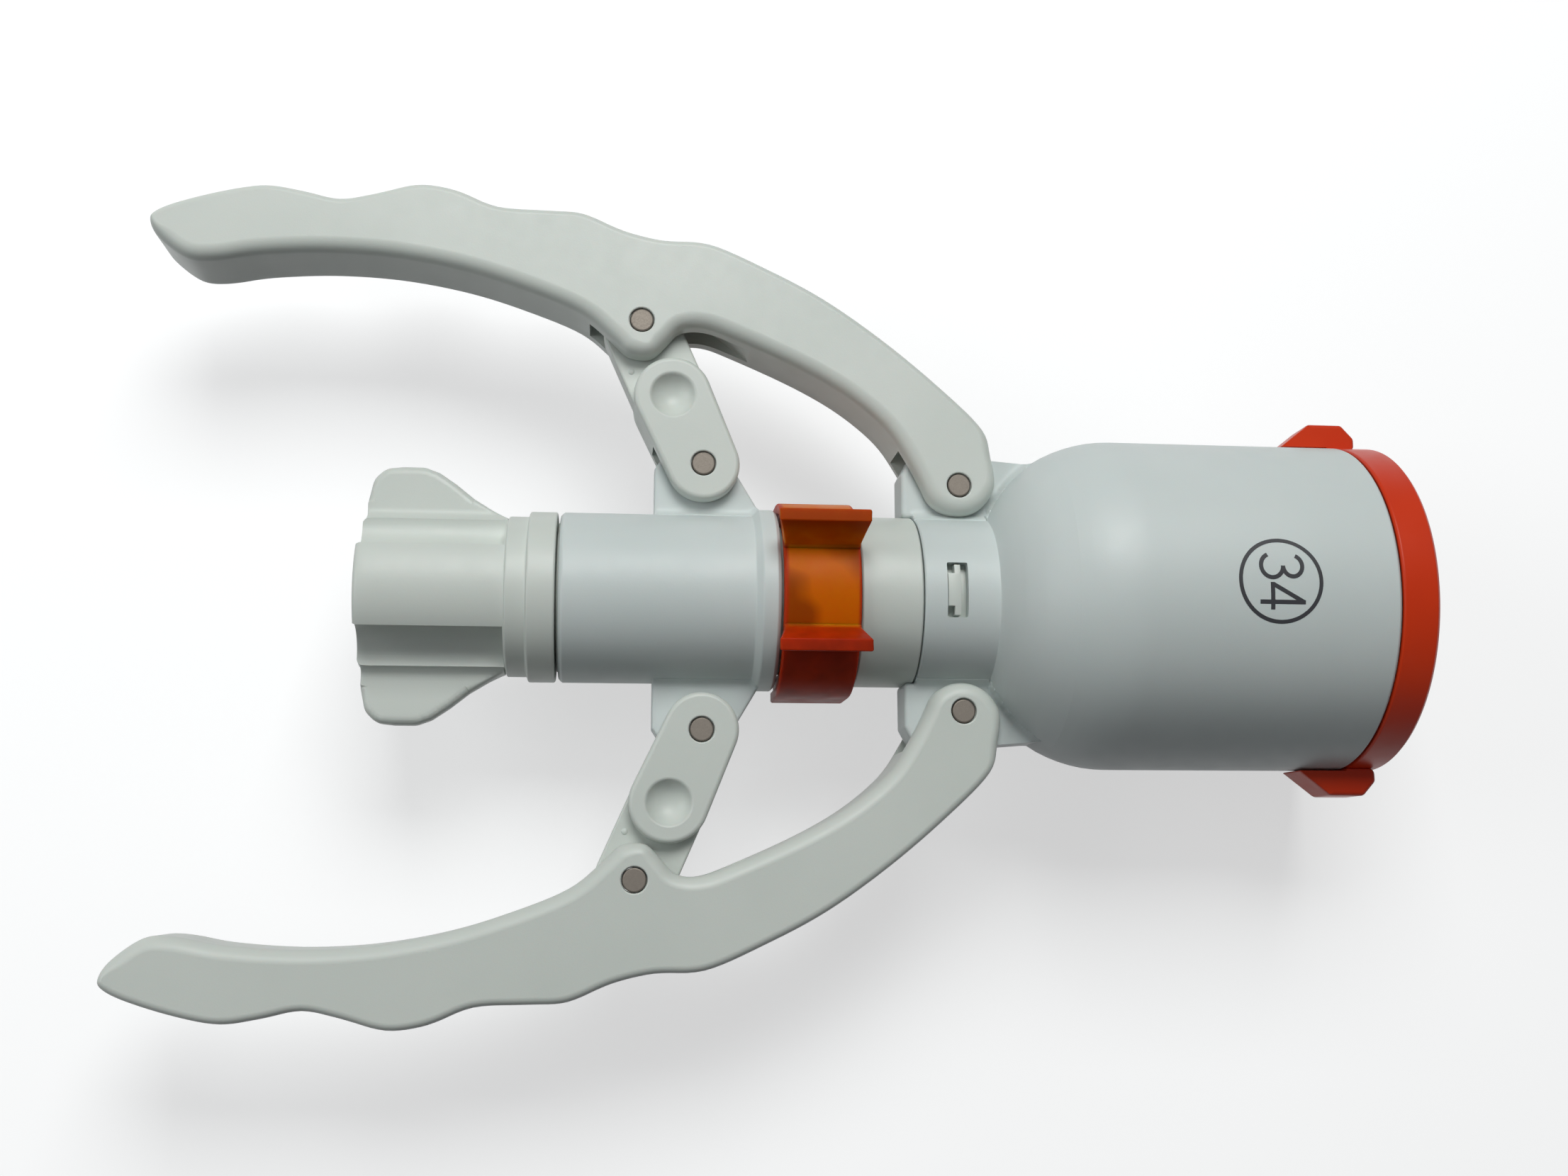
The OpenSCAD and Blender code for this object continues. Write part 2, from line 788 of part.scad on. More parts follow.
// The split ring that keeps the knob's spigot in the guide tube
clip_split = 3;

module knob_retaining_ring() {
    color("dimgray")
        difference() {
            ring(spigot_r - clip_groove + pin_fit, guide_in_r + clip_rim - pin_fit, clip_x, clip_x + clip_t);
            translate([clip_x - over, -clip_split / 2, 0])
                cube([clip_t + 2 * over, clip_split, guide_r]);
        }
}

// A handle's outline, as shares of its reach and rise from the pivot, round from behind the nose
handle_shares = [
    [0.043, 0.1], [0.032, 0.2], [-0.019, 0.337], [-0.092, 0.5], [-0.17, 0.645], [-0.246, 0.75],
    [-0.315, 0.826], [-0.374, 0.834], [-0.424, 0.864], [-0.474, 0.918], [-0.52, 0.925],
    [-0.582, 0.932], [-0.633, 0.983], [-0.68, 0.998], [-0.73, 0.962], [-0.775, 0.937],
    [-0.82, 0.959], [-0.865, 0.974], [-0.914, 0.95], [-0.968, 0.905], [-0.996, 0.868],
    [-1.002, 0.832], [-0.99, 0.78], [-0.956, 0.716], [-0.921, 0.712], [-0.87, 0.737],
    [-0.79, 0.753], [-0.705, 0.744], [-0.62, 0.706], [-0.545, 0.646], [-0.475, 0.57],
    [-0.434, 0.48], [-0.415, 0.436], [-0.387, 0.431], [-0.367, 0.48], [-0.35, 0.525],
    [-0.32, 0.532], [-0.28, 0.495], [-0.2, 0.4], [-0.14, 0.308], [-0.092, 0.2], [-0.064, 0.09]
];
nose_r = 5.3;
nose_lift = 1.3;
nose_from = -168;
nose_to = -12;
nose_steps = 5;
outline_steps = 3;
fork_gap = 0.3;
fork_r = 9.6;
tongue_slot_r = 8.6;
tongue_slot_ahead = 2.6;
tongue_slot_drop = 1.5;
pin_recess_r = 2.1;
pin_recess = 0.6;

module handle_outline() {
    centre = pivot + [0, nose_lift];
    polygon(smooth(concat(
        [for (p = handle_shares) pivot + [p[0] * handle_reach, p[1] * handle_rise]],
        arc(centre, nose_r, nose_from, nose_to, nose_steps)), outline_steps));
}

module pin_seat(place, t) {
    post(place, pin_hole_r, t + 2 * over);
    for (z = [t / 2 - pin_recess, -t / 2 - over])
        translate([place[0], place[1], z])
            cylinder(r = pin_recess_r, h = pin_recess + over);
}

module handle() {
    difference() {
        plate(handle_t)
            handle_outline();
        post(pivot, fork_r, lug_t + 2 * fork_gap);
        post(link_pin + [tongue_slot_ahead, -tongue_slot_drop], tongue_slot_r, tongue_t + 2 * fork_gap);
        pin_seat(pivot, handle_t);
        pin_seat(link_pin, handle_t);
    }
}

module upper_handle() {
    color("whitesmoke")
        handle();
}

module lower_handle() {
    color("whitesmoke")
        mirror([0, 1, 0])
            handle();
}

// A link: a thick body with a dimple, forked over the sleeve's lug, and a tongue in the handle
dimple_share = 0.49;
dimple_r = 3.1;
dimple_depth = 1.1;
tongue_r = 5.25;
link_fork_r = 8.4;
link_fork_gap = 0.3;

module link() {
    dimple_x = link_reach * dimple_share;
    ball_r = (dimple_r * dimple_r + dimple_depth * dimple_depth) / (2 * dimple_depth);
    translate([sleeve_pin[0], sleeve_pin[1], 0])
        rotate([0, 0, link_angle])
            difference() {
                union() {
                    plate(link_t)
                        two_circles(dimple_x, link_end_r, link_crown_r);
                    plate(tongue_t)
                        translate([dimple_x, 0])
                            two_circles(link_reach - dimple_x, tongue_r, tongue_r);
                }
                post([0, 0], link_fork_r, sleeve_lug_t + 2 * link_fork_gap);
                pin_seat([0, 0], link_t);
                post([link_reach, 0], pin_hole_r, tongue_t + 2 * over);
                for (side = [1, -1])
                    translate([dimple_x, 0, side * (link_t / 2 - dimple_depth + ball_r)])
                        sphere(r = ball_r);
            }
}

module upper_link() {
    color("aliceblue")
        link();
}

module lower_link() {
    color("aliceblue")
        mirror([0, 1, 0])
            link();
}

// The six steel hinge pins, each a little short of the faces round it
pin_short = 0.1;

module hinge_pin(place, t) {
    color("rosybrown")
        post(place, pin_r, t - 2 * pin_short);
}

module upper_pivot_pin() {
    hinge_pin(pivot, handle_t);
}

module lower_pivot_pin() {
    hinge_pin([pivot[0], -pivot[1]], handle_t);
}

module upper_link_pin() {
    hinge_pin(link_pin, handle_t);
}

module lower_link_pin() {
    hinge_pin([link_pin[0], -link_pin[1]], handle_t);
}

module upper_sleeve_pin() {
    hinge_pin(sleeve_pin, link_t);
}

module lower_sleeve_pin() {
    hinge_pin([sleeve_pin[0], -sleeve_pin[1]], link_t);
}

// The safety catch: a saddle with a finger grip along each side. A rib at its rear rests on the tube,
// and the rest of the saddle is wide enough to pass over the tube's shoulder
catch_leg = 6.5;
catch_rib = 2.8;
catch_in_r = neck_r + slide_fit + pin_fit;
catch_out_r = catch_in_r + catch_wall;
grip_fillet = 0.8;
grip_flat = 1.9;
grip_in_share = 0.34;
grip_out_share = 0.77;
grip_heel_share = 0.52;
grip_sink = 0.6;

// The height inside the saddle's wall at a place across it
function saddle_h(y) = sqrt(catch_out_r * catch_out_r - y * y) - grip_sink;

module catch_section(in_r, out_r, leg) {
    difference() {
        union() {
            circle(r = out_r);
            translate([-out_r, -leg])
                square([2 * out_r, leg]);
        }
        circle(r = in_r);
        translate([-in_r, -out_r - over])
            square([2 * in_r, out_r + over]);
        translate([-out_r - over, -leg - 2 * out_r])
            square([2 * out_r + 2 * over, 2 * out_r]);
    }
}

module grip_section() {
    grip_h = catch_out_r + catch_grip_rise;
    grip_in = catch_out_r * grip_in_share;
    grip_out = catch_out_r * grip_out_share;
    heel_y = catch_out_r * grip_heel_share;
    polygon([
        [grip_in, saddle_h(grip_in)],
        [grip_in + grip_fillet, grip_h - 2 * grip_fillet],
        [grip_out - grip_flat, grip_h],
        [grip_out, grip_h],
        [grip_out, grip_h - catch_wall],
        [heel_y, saddle_h(heel_y)]
    ]);
}

// An outline with Y across and Z up, drawn out along X between two places
module along_axis(from_x, to_x) {
    translate([from_x, 0, 0])
        rotate([90, 0, 90])
            linear_extrude(height = to_x - from_x)
                children();
}

module safety_catch() {
    color("orangered")
        union() {
            along_axis(catch_rear_x, web_front_x)
                catch_section(catch_in_r, catch_out_r, catch_leg);
            along_axis(catch_rear_x + side_gap, catch_rear_x + catch_rib)
                catch_section(guide_r + slide_fit + pin_fit, catch_in_r + catch_wall / 2,
                    catch_leg - grip_sink);
            for (side = [1, -1])
                scale([1, side, 1])
                    along_axis(catch_rear_x, catch_front_x)
                        grip_section();
        }
}

// The ring that covers the anvil until use, with a pull tab at each side
ring_fit = 0.15;
ring_round = 0.5;
ring_bore_gap = 0.6;
tab_t = 6;
tab_back = 6.5;
tab_toe = 4.4;
tab_crest = 2.6;
tab_heel_x = 4.2;
tab_toe_share = 0.45;
tab_heel_share = 0.08;

module pull_tab() {
    plate(tab_t)
        polygon([
            [tab_toe, head_r - ring_round],
            [tab_toe, head_r + tab_rise * tab_toe_share],
            [tab_crest, head_r + tab_rise],
            [tab_heel_x - tab_back, head_r + tab_rise],
            [-tab_back, head_r + tab_rise * tab_heel_share],
            [-tab_back, head_r + slide_fit],
            [ring_fit, head_r + slide_fit],
            [ring_fit, head_r - ring_round]
        ]);
}

module protective_ring() {
    front_x = mouth_x + ring_fit + ring_plate_t;
    rim_r = flange_r + ring_fit;
    color("red")
        union() {
            turned()
                polygon([
                    [rim_r, ring_fit],
                    [head_r, ring_fit],
                    [head_r, front_x - ring_round],
                    [head_r - ring_round, front_x],
                    [bell_r + ring_bore_gap, front_x],
                    [bell_r + ring_bore_gap, mouth_x + ring_fit],
                    [rim_r, mouth_x + ring_fit]
                ]);
            pull_tab();
            mirror([0, 1, 0])
                pull_tab();
        }
}

head_housing();
guide_tube();
push_sleeve();
drive_keys();
pusher();
ring_knife();
staple_cartridge();
staples();
return_spring();
bell_cup();
anvil_ring();
cutting_washer();
pull_rod();
adjusting_knob();
knob_nut();
knob_retaining_ring();
upper_handle();
lower_handle();
upper_pivot_pin();
lower_pivot_pin();
upper_link();
lower_link();
upper_link_pin();
lower_link_pin();
upper_sleeve_pin();
lower_sleeve_pin();
safety_catch();
protective_ring();
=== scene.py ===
"""Looks for the circular stapler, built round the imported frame. Lengths are in metres."""

import json
import math

import bmesh
import bpy
import numpy as np
from mathutils import Matrix, Quaternion, Vector


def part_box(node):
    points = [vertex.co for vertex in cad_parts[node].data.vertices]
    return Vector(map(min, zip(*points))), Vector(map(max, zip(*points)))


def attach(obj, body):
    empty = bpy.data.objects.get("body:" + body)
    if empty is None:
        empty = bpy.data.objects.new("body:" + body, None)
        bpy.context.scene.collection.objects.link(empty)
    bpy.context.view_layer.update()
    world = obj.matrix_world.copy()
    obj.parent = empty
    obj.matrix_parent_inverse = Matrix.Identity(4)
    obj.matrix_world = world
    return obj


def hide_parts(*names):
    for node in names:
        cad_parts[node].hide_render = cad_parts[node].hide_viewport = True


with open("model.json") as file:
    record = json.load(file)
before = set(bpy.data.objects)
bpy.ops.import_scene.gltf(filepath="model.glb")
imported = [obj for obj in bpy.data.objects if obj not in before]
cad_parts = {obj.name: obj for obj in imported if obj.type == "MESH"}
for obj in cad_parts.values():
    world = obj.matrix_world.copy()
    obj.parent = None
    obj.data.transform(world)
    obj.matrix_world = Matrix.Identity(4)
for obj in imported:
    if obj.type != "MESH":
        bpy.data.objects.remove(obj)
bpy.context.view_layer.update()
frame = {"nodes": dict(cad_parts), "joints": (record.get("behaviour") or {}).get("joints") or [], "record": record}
NODES = frame["nodes"]
MM = 0.001


# Places worked out from the frame
def spot(node):
    """The middle of a node, seen along Z."""
    low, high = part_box(node)
    return np.array(((low + high) / 2)[:2])


def points_of(node):
    return [v.co for v in NODES[node].data.vertices]


def joint_span(joint):
    low, high = next(j for j in frame["joints"] if j["name"] == joint)["range_deg"]
    return high - low


def ratio(joint):
    couplings = frame["record"]["behaviour"]["couplings"]
    return next(c for c in couplings if c["joint"] == joint)["ratio"]


HEAD_LOW, HEAD_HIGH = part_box("head_housing")
HEAD_R = HEAD_HIGH.z
PIVOT, LINK_PIN, SLEEVE_PIN = spot("upper_pivot_pin"), spot("upper_link_pin"), spot("upper_sleeve_pin")
PIN_R = (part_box("upper_pivot_pin")[1].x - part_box("upper_pivot_pin")[0].x) / 2
HANDLE_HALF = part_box("upper_handle")[1].z
LINK_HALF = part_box("upper_link")[1].z
KNOB_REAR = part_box("adjusting_knob")[0].x
CATCH_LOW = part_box("safety_catch")[0]
WEB_FRONT = max(p.x for p in points_of("safety_catch") if p.z < 0)
SADDLE_R = max(math.hypot(p.y, p.z) for p in points_of("safety_catch") if abs(p.y) < 2 * MM)

# Plain cutters reach past what they cut, with hardly any rounding of their own
OVER = 1 * MM
CUT_EDGE = 0.02 * MM
BORE_FIT = 0.05 * MM
THROUGH = 5 * MM

# The head, its lugs and its windows
SHELL_ROUND = 0.35 * MM
LUG_HALF = 3 * MM
LUG_ROUND = 0.6 * MM
LUG_CORNER = 0.8 * MM
LUG_FILLET = 1.2 * MM
WINDOW_LEN = 2.7 * MM
WINDOW_BACK = 0.1 * MM
WINDOW_FIT = 0.3 * MM
WINDOW_ROUND = 0.25 * MM
WINDOW_THICK_HALF = 3 * MM
WINDOW_Z = 12 * MM

# The guide tube, its seam, its slot and its snap tabs
TUBE_ROUND = 0.15 * MM
SEAM_ZONE = (0.6 * MM, 0.1 * MM)
SEAM_DARK = 0.1 * MM
STROKE = 7 * MM
KEY_FIT = 0.1 * MM
KEY_SPARE = 0.3 * MM
KEY_SLOT_HALF = 14 * MM
TAB_OPEN = 0.9 * MM
TAB_HOOK = 0.8 * MM
TAB_STEP = 1.2 * MM
TAB_SUNK = 0.1 * MM
TAB_LOW = 10.5 * MM
TAB_Z = 11.5 * MM
TAB_THICK_HALF = 2 * MM
TAB_ROUND = 0.12 * MM

# The sleeve and its ears
SLEEVE_ROUND = 0.45 * MM
EAR_HALF = 2 * MM
EAR_ROUND = 0.4 * MM
EAR_FILLET = 0.8 * MM
EAR_SLACK = 1.3 * MM

# The handles, with the seats of the pins
HANDLE_ROUND = 1.9 * MM
HANDLE_OUTER_ROUND = 1.0 * MM
FORK_R = 9.6 * MM
FORK_HALF = 3.3 * MM
TONGUE_FIT = 0.25 * MM
TONGUE_SLOT_HALF = 2.5 * MM
SLOT_SPARE = (1.7 * MM, 2.4 * MM)
SEAT_R = PIN_R + 0.13 * MM
SEAT_DEPTH = 0.6 * MM
SEAT_LIP = 0.2 * MM

# How far each corner of a pin's end lies below its face and inside its side
PIN_CHAMFER = ((0, 0.2 * MM), (0.05 * MM, 0.09 * MM), (0.16 * MM, 0))

# The links
LINK_ROUND = 0.65 * MM
LINK_END_R = 5.0 * MM
LINK_CROWN_R = 5.35 * MM
LINK_FORK_R = 7.4 * MM
LINK_FORK_HALF = 2.3 * MM
TONGUE_HALF = 2.2 * MM
TONGUE_R = 5.25 * MM
TONGUE_ROUND = 0.35 * MM
DIMPLE_R = 3.1 * MM
DIMPLE_DEPTH = 1.9 * MM
DIMPLE_SHARE = 0.97
RIM_DROP = 0.12 * MM
RIM_WIDTH = 0.3 * MM
EJECTOR_DOT = (-99.6 * MM, 31.6 * MM)
DOT_PROFILE = (
    (-0.1 * MM, 0), (-0.1 * MM, 0.46 * MM), (0.06 * MM, 0.4 * MM), (0.15 * MM, 0.24 * MM), (0.18 * MM, 0))

# The knob: its flutes, its wings and its rounds
FLUTE_ANGLE = math.radians(52.5)
FLUTE_R = 4.1 * MM
FLUTE_OUT = 1.02 * MM
KNOB_ROUND = 1.7 * MM
KNOB_EDGE = 0.3 * MM
KNOB_REAR_FACE = 0.05 * MM
KNOB_REAR_ZONE = 1.5 * MM
WING_HALF = 1.5 * MM
WING_CORNER = 2.5 * MM
WING_ROUND = 1.0 * MM
WING_FILLET = 1.2 * MM

# The bell, the catch and the red ring
BELL_ROUND = 0.25 * MM
CATCH_WALL = 1.5 * MM
CATCH_ROUND = 0.3 * MM
RIB_FIT = 0.15 * MM
RIB_SHORT = 0.6 * MM
RIB_ENDS = (0.3 * MM, 2.8 * MM)
RIB_ROUND = 0.1 * MM
GRIP_TOP = 17.5 * MM
GRIP_ROUND = 0.5 * MM
GRIP_FLARE = (1.1 * MM, 0.8 * MM)
PULL_HALF = 3 * MM
PULL_ROUND = 0.6 * MM
PULL_CORNER = 0.8 * MM

# The size mark, on the head
MARK_PROUD = 0.02 * MM
MARK_X, MARK_Y = -16.35 * MM, -0.15 * MM
MARK_R, MARK_STROKE = 5.62 * MM, 0.52 * MM
DIGIT_STROKE = 0.56 * MM
DIGIT_LOW, DIGIT_HIGH = -19.2 * MM, -13.15 * MM
THREE_LEFT, THREE_RIGHT = -3.6 * MM, 0.06 * MM
THREE_WAIST_SHARE = 0.53
FOUR_LEFT, FOUR_RIGHT, FOUR_STEM, FOUR_BAR = 0.4 * MM, 3.95 * MM, 2.95 * MM, -17.5 * MM

# The lights: the floor's own glow, the world as it lights the object and as it is seen, and the lamps' watts
FLOOR_LIFT = 0.58
FLOOR_DROP = 0.2 * MM
WORLD_LIGHT, WORLD_SEEN = 0.085, 0.62
KEY_POWER, FILL_POWER = 2.4, 0.55

# The camera, as fitted to the photograph
SENSOR = 36
FOCAL_PX, WIDTH_PX = 2300, 2212
CAMERA_PLACE = (-0.10169, -0.03745, 0.221)
CAMERA_TURN = (0.1749, -0.1059, 0.0074)


# Mesh helpers
def new_object(name, bm):
    mesh = bpy.data.meshes.new(name)
    bm.to_mesh(mesh)
    bm.free()
    obj = bpy.data.objects.new(name, mesh)
    bpy.context.scene.collection.objects.link(obj)
    return obj


def bake(obj):
    """Applies the object's modifiers."""
    graph = bpy.context.evaluated_depsgraph_get()
    mesh = bpy.data.meshes.new_from_object(obj.evaluated_get(graph))
    obj.modifiers.clear()
    obj.data = mesh
    return obj


def boolean(obj, others, operation):
    for other in others:
        modifier = obj.modifiers.new("boolean", "BOOLEAN")
        modifier.operation = operation
        modifier.solver = "EXACT"
        modifier.object = other
    bake(obj)
    for other in others:
        bpy.data.objects.remove(other)
    return obj


def soften(obj, width=0.0, segments=3, angle=40):
    """Rounds the sharp edges, and keeps flat faces flat in the shading."""
    if width:
        bevel = obj.modifiers.new("bevel", "BEVEL")
        bevel.width = width
        bevel.segments = segments
        bevel.limit_method = "ANGLE"
        bevel.angle_limit = math.radians(angle)
        bevel.miter_outer = "MITER_ARC"
        bake(obj)
    obj.data.shade_smooth()
    obj.data.set_sharp_from_angle(angle=math.radians(angle))
    normals = obj.modifiers.new("normals", "WEIGHTED_NORMAL")
    normals.keep_sharp = True
    normals.weight = 100
    return bake(obj)


def mirrored(obj, name, scale=(1, -1, 1, 1)):
    mesh = obj.data.copy()
    mesh.transform(Matrix.Diagonal(scale))
    mesh.flip_normals()
    copy = bpy.data.objects.new(name, mesh)
    bpy.context.scene.collection.objects.link(copy)
    return copy


def chains(edges):
    """Joins edges, given as pairs of hashable ends, into ordered chains. Returns (ends, closed) pairs."""
    near = {}
    for a, b in edges:
        near.setdefault(a, []).append(b)
        near.setdefault(b, []).append(a)
    out, used = [], set()
    starts = [k for k in near if len(near[k]) == 1] + list(near)
    for start in starts:
        if start in used:
            continue
        chain, here = [start], start
        used.add(start)
        while True:
            ahead = [k for k in near[here] if k not in used]
            if not ahead:
                break
            here = ahead[0]
            used.add(here)
            chain.append(here)
        if len(chain) > 2:
            out.append((chain, start in near[chain[-1]]))
    return sorted(out, key=lambda c: -len(c[0]))


def welded(node):
    bm = bmesh.new()
    bm.from_mesh(NODES[node].data)
    bmesh.ops.remove_doubles(bm, verts=bm.verts, dist=1e-7)
    return bm


def face_loops(node, z):
    """The closed outlines of a CAD node's flat faces at height z, as arrays of x and y, anticlockwise."""
    bm = welded(node)
    flat = {
        f
        for f in bm.faces
        if abs(f.normal.z) > 0.999 and abs(f.calc_center_median().z - z) < 1e-6
    }
    rim = [e for e in bm.edges if sum(f in flat for f in e.link_faces) == 1]
    places = {v: (v.co.x, v.co.y) for e in rim for v in e.verts}
    loops = []
    for chain, closed in chains([(e.verts[0], e.verts[1]) for e in rim]):
        if closed:
            loop = np.array([places[v] for v in chain])
            loops.append(loop if area(loop) > 0 else loop[::-1])
    bm.free()
    return sorted(loops, key=lambda p: -abs(area(p)))


def area(loop):
    x, y = loop[:, 0], loop[:, 1]
    return 0.5 * float(np.sum(x * np.roll(y, -1) - y * np.roll(x, -1)))


def section(node, degrees):
    """The longest outline of a CAD node in the half plane that starts at the X axis and leans by that angle
    from +Z towards +Y, as an array of x and radius, and whether it is closed."""
    a = math.radians(degrees)
    out, across = Vector((0, math.sin(a), math.cos(a))), Vector((0, math.cos(a), -math.sin(a)))
    bm = welded(node)
    parts = list(bm.verts) + list(bm.edges) + list(bm.faces)
    bmesh.ops.bisect_plane(bm, geom=parts, plane_co=(0, 0, 0), plane_no=out, clear_inner=True)
    parts = list(bm.verts) + list(bm.edges) + list(bm.faces)
    cut = bmesh.ops.bisect_plane(bm, geom=parts, plane_co=(0, 0, 0), plane_no=across)
    rim = [e for e in cut["geom_cut"] if isinstance(e, bmesh.types.BMEdge)]
    places = {v: (v.co.x, v.co.dot(out)) for e in rim for v in e.verts}
    chain, closed = chains([(e.verts[0], e.verts[1]) for e in rim])[0]
    points = np.array([places[v] for v in chain])
    bm.free()
    return tidy(points, closed), closed


def tidy(points, closed):
    """Drops the points that repeat, or lie on a straight line between their neighbours."""
    apart = np.hypot(*(points - np.roll(points, 1, 0)).T) > 1e-6
    points = points[apart | (np.arange(len(points)) == 0) & (not closed)]
    keep, n = [], len(points)
    for i in range(n):
        if not closed and i in (0, n - 1):
            keep.append(i)
            continue
        a, b, c = points[i - 1], points[i], points[(i + 1) % n]
        u, v = b - a, c - b
        turn = abs(math.atan2(u[0] * v[1] - u[1] * v[0], float(u @ v)))
        if turn > 0.004:
            keep.append(i)
    return points[keep]


def rounded(points, radius, closed=True, least=25, steps=5):
    """Rounds the corners of an outline that turn by more than the least angle. Each point may have its own
    radius."""
    out, n = [], len(points)
    radii = np.broadcast_to(radius, n)
    for i in range(n):
        b = points[i]
        if not closed and i in (0, n - 1):
            out.append(b)
            continue
        a, c = points[i - 1], points[(i + 1) % n]
        u, v = b - a, c - b
        lu, lv = np.hypot(*u), np.hypot(*v)
        u, v = u / lu, v / lv
        turn = math.atan2(u[0] * v[1] - u[1] * v[0], float(u @ v))
        if abs(turn) < math.radians(least) or abs(turn) > math.radians(175):
            out.append(b)
            continue
        back = min(radii[i] * math.tan(abs(turn) / 2), 0.48 * lu, 0.48 * lv)
        r = back / math.tan(abs(turn) / 2)
        side = 1 if turn > 0 else -1
        centre = b - u * back + side * r * np.array([-u[1], u[0]])
        start = b - u * back - centre
        for k in range(steps + 1):
            t = turn * k / steps
            out.append(centre + np.array([
                start[0] * math.cos(t) - start[1] * math.sin(t),
                start[0] * math.sin(t) + start[1] * math.cos(t)]))
    return np.array(out)


def lathe(name, points, closed, count=160, place=(0, 0), axis="X"):
    """A solid turned from an outline of x and radius. With axis Z, x is the height over the XY plane."""
    bm = bmesh.new()
    rings = []
    for x, r in points:
        if r < 1e-6:
            rings.append([bm.verts.new((x, 0, 0))] * count)
            continue
        rings.append([
            bm.verts.new((x, r * math.sin(2 * math.pi * k / count), r * math.cos(2 * math.pi * k / count)))
            for k in range(count)])
    last = len(rings) if closed else len(rings) - 1
    for i in range(last):
        a, b = rings[i], rings[(i + 1) % len(rings)]
        for k in range(count):
            corners = [a[k], a[(k + 1) % count], b[(k + 1) % count], b[k]]
            corners = [v for j, v in enumerate(corners) if v not in corners[:j]]
            if len(corners) > 2:
                bm.faces.new(corners)
    if axis == "Z":
        upright = Matrix(((0, 1, 0, place[0]), (0, 0, 1, place[1]), (1, 0, 0, 0), (0, 0, 0, 1)))
        bmesh.ops.transform(bm, verts=bm.verts, matrix=upright)
    bmesh.ops.recalc_face_normals(bm, faces=bm.faces)
    return new_object(name, bm)


def smooth_loop(loop, steps):
    """A smooth closed curve through the loop's points."""
    out, n = [], len(loop)
    for i in range(n):
        a, b, c, d = loop[i - 1], loop[i], loop[(i + 1) % n], loop[(i + 2) % n]
        for k in range(steps):
            t = k / steps
            square, cube = 2 * a - 5 * b + 4 * c - d, 3 * b - a - 3 * c + d
            out.append((2 * b + (c - a) * t + square * t * t + cube * t ** 3) / 2)
    return np.array(out)


def inwards(loop):
    """The inward directions of an anticlockwise outline, at its points and at its edges."""
    ahead = np.roll(loop, -1, 0) - loop
    ahead /= np.linalg.norm(ahead, axis=1)[:, None]
    inward = np.stack([-ahead[:, 1], ahead[:, 0]], 1)
    both = inward + np.roll(inward, 1, 0)
    both /= np.linalg.norm(both, axis=1)[:, None]
    return both, inward


def inset(loop, depth):
    """An anticlockwise outline moved inwards."""
    both, inward = inwards(loop)
    lean = np.clip(np.sum(both * inward, 1), 0.5, 1)
    return loop + both * (depth / lean)[:, None]


def room(loop, share=0.8, smooth=3):
    """How far each point of an anticlockwise outline can move inwards before the outline meets itself."""
    ahead = np.roll(loop, -1, 0) - np.roll(loop, 1, 0)
    ahead /= np.linalg.norm(ahead, axis=1)[:, None]
    inward = np.stack([-ahead[:, 1], ahead[:, 0]], 1)
    gap = loop[None] - loop[:, None]
    along = np.sum(gap * inward[:, None], 2)
    reach = np.where(along > 1e-7, np.sum(gap ** 2, 2) / np.maximum(2 * along, 1e-12), 1)
    least = reach.min(1)
    for _ in range(smooth):
        least = np.minimum(np.minimum(least, np.roll(least, 1)), np.roll(least, -1))
    for _ in range(smooth * 2):
        least = (np.roll(least, 1) + 2 * least + np.roll(least, -1)) / 4
    return share * least


def plate(name, loop, half, edge, steps=6):
    """A plate centred on the XY plane, with its edges rounded. Each point may have its own radius."""
    bm = bmesh.new()
    edge = np.broadcast_to(edge, len(loop))
    depths = np.minimum(edge, room(loop)) if edge.max() > 0.5 * MM else edge
    rings = []
    for t in [math.pi / 2 * k / steps for k in range(steps + 1)]:
        heights = half - edge * (1 - math.cos(t))
        ring = inset(loop, depths * (1 - math.sin(t)))
        rings.append([(x, y, z) for (x, y), z in zip(ring, heights)])
    rings += [[(x, y, -z) for x, y, z in ring] for ring in reversed(rings)]
    rows = [[bm.verts.new(p) for p in ring] for ring in rings]
    n = len(loop)
    bm.faces.new(rows[0])
    bm.faces.new(list(reversed(rows[-1])))
    for a, b in zip(rows, rows[1:]):
        for k in range(n):
            bm.faces.new([a[k], b[k], b[(k + 1) % n], a[(k + 1) % n]])
    bmesh.ops.recalc_face_normals(bm, faces=bm.faces)
    return new_object(name, bm)


def two_circles(first, first_r, second, second_r, count=28):
    """An anticlockwise outline round two circles."""
    d = np.array(second) - np.array(first)
    reach, turn = np.hypot(*d), math.atan2(d[1], d[0])
    lean = math.acos((first_r - second_r) / reach)

    def arc(centre, r, start, end):
        turns = np.linspace(start, end, count)
        return [np.array(centre) + r * np.array([math.cos(t), math.sin(t)]) for t in turns]

    return np.array(arc(first, first_r, turn + lean, turn + 2 * math.pi - lean)
                    + arc(second, second_r, turn - lean, turn + lean))


def hull(points):
    """The anticlockwise outline round a set of points."""
    points = sorted(map(tuple, points))
    out = []
    for row in (points, points[::-1]):
        side = []
        for p in row:
            while len(side) > 1 and ((side[-1][0] - side[-2][0]) * (p[1] - side[-2][1])
                                     <= (side[-1][1] - side[-2][1]) * (p[0] - side[-2][0])):
                side.pop()
            side.append(p)
        out += side[:-1]
    return np.array(out)


def drum(low, high, r):
    """The outline of a plain cylinder."""
    return np.array([(low, 0), (low, r), (high, r), (high, 0)])


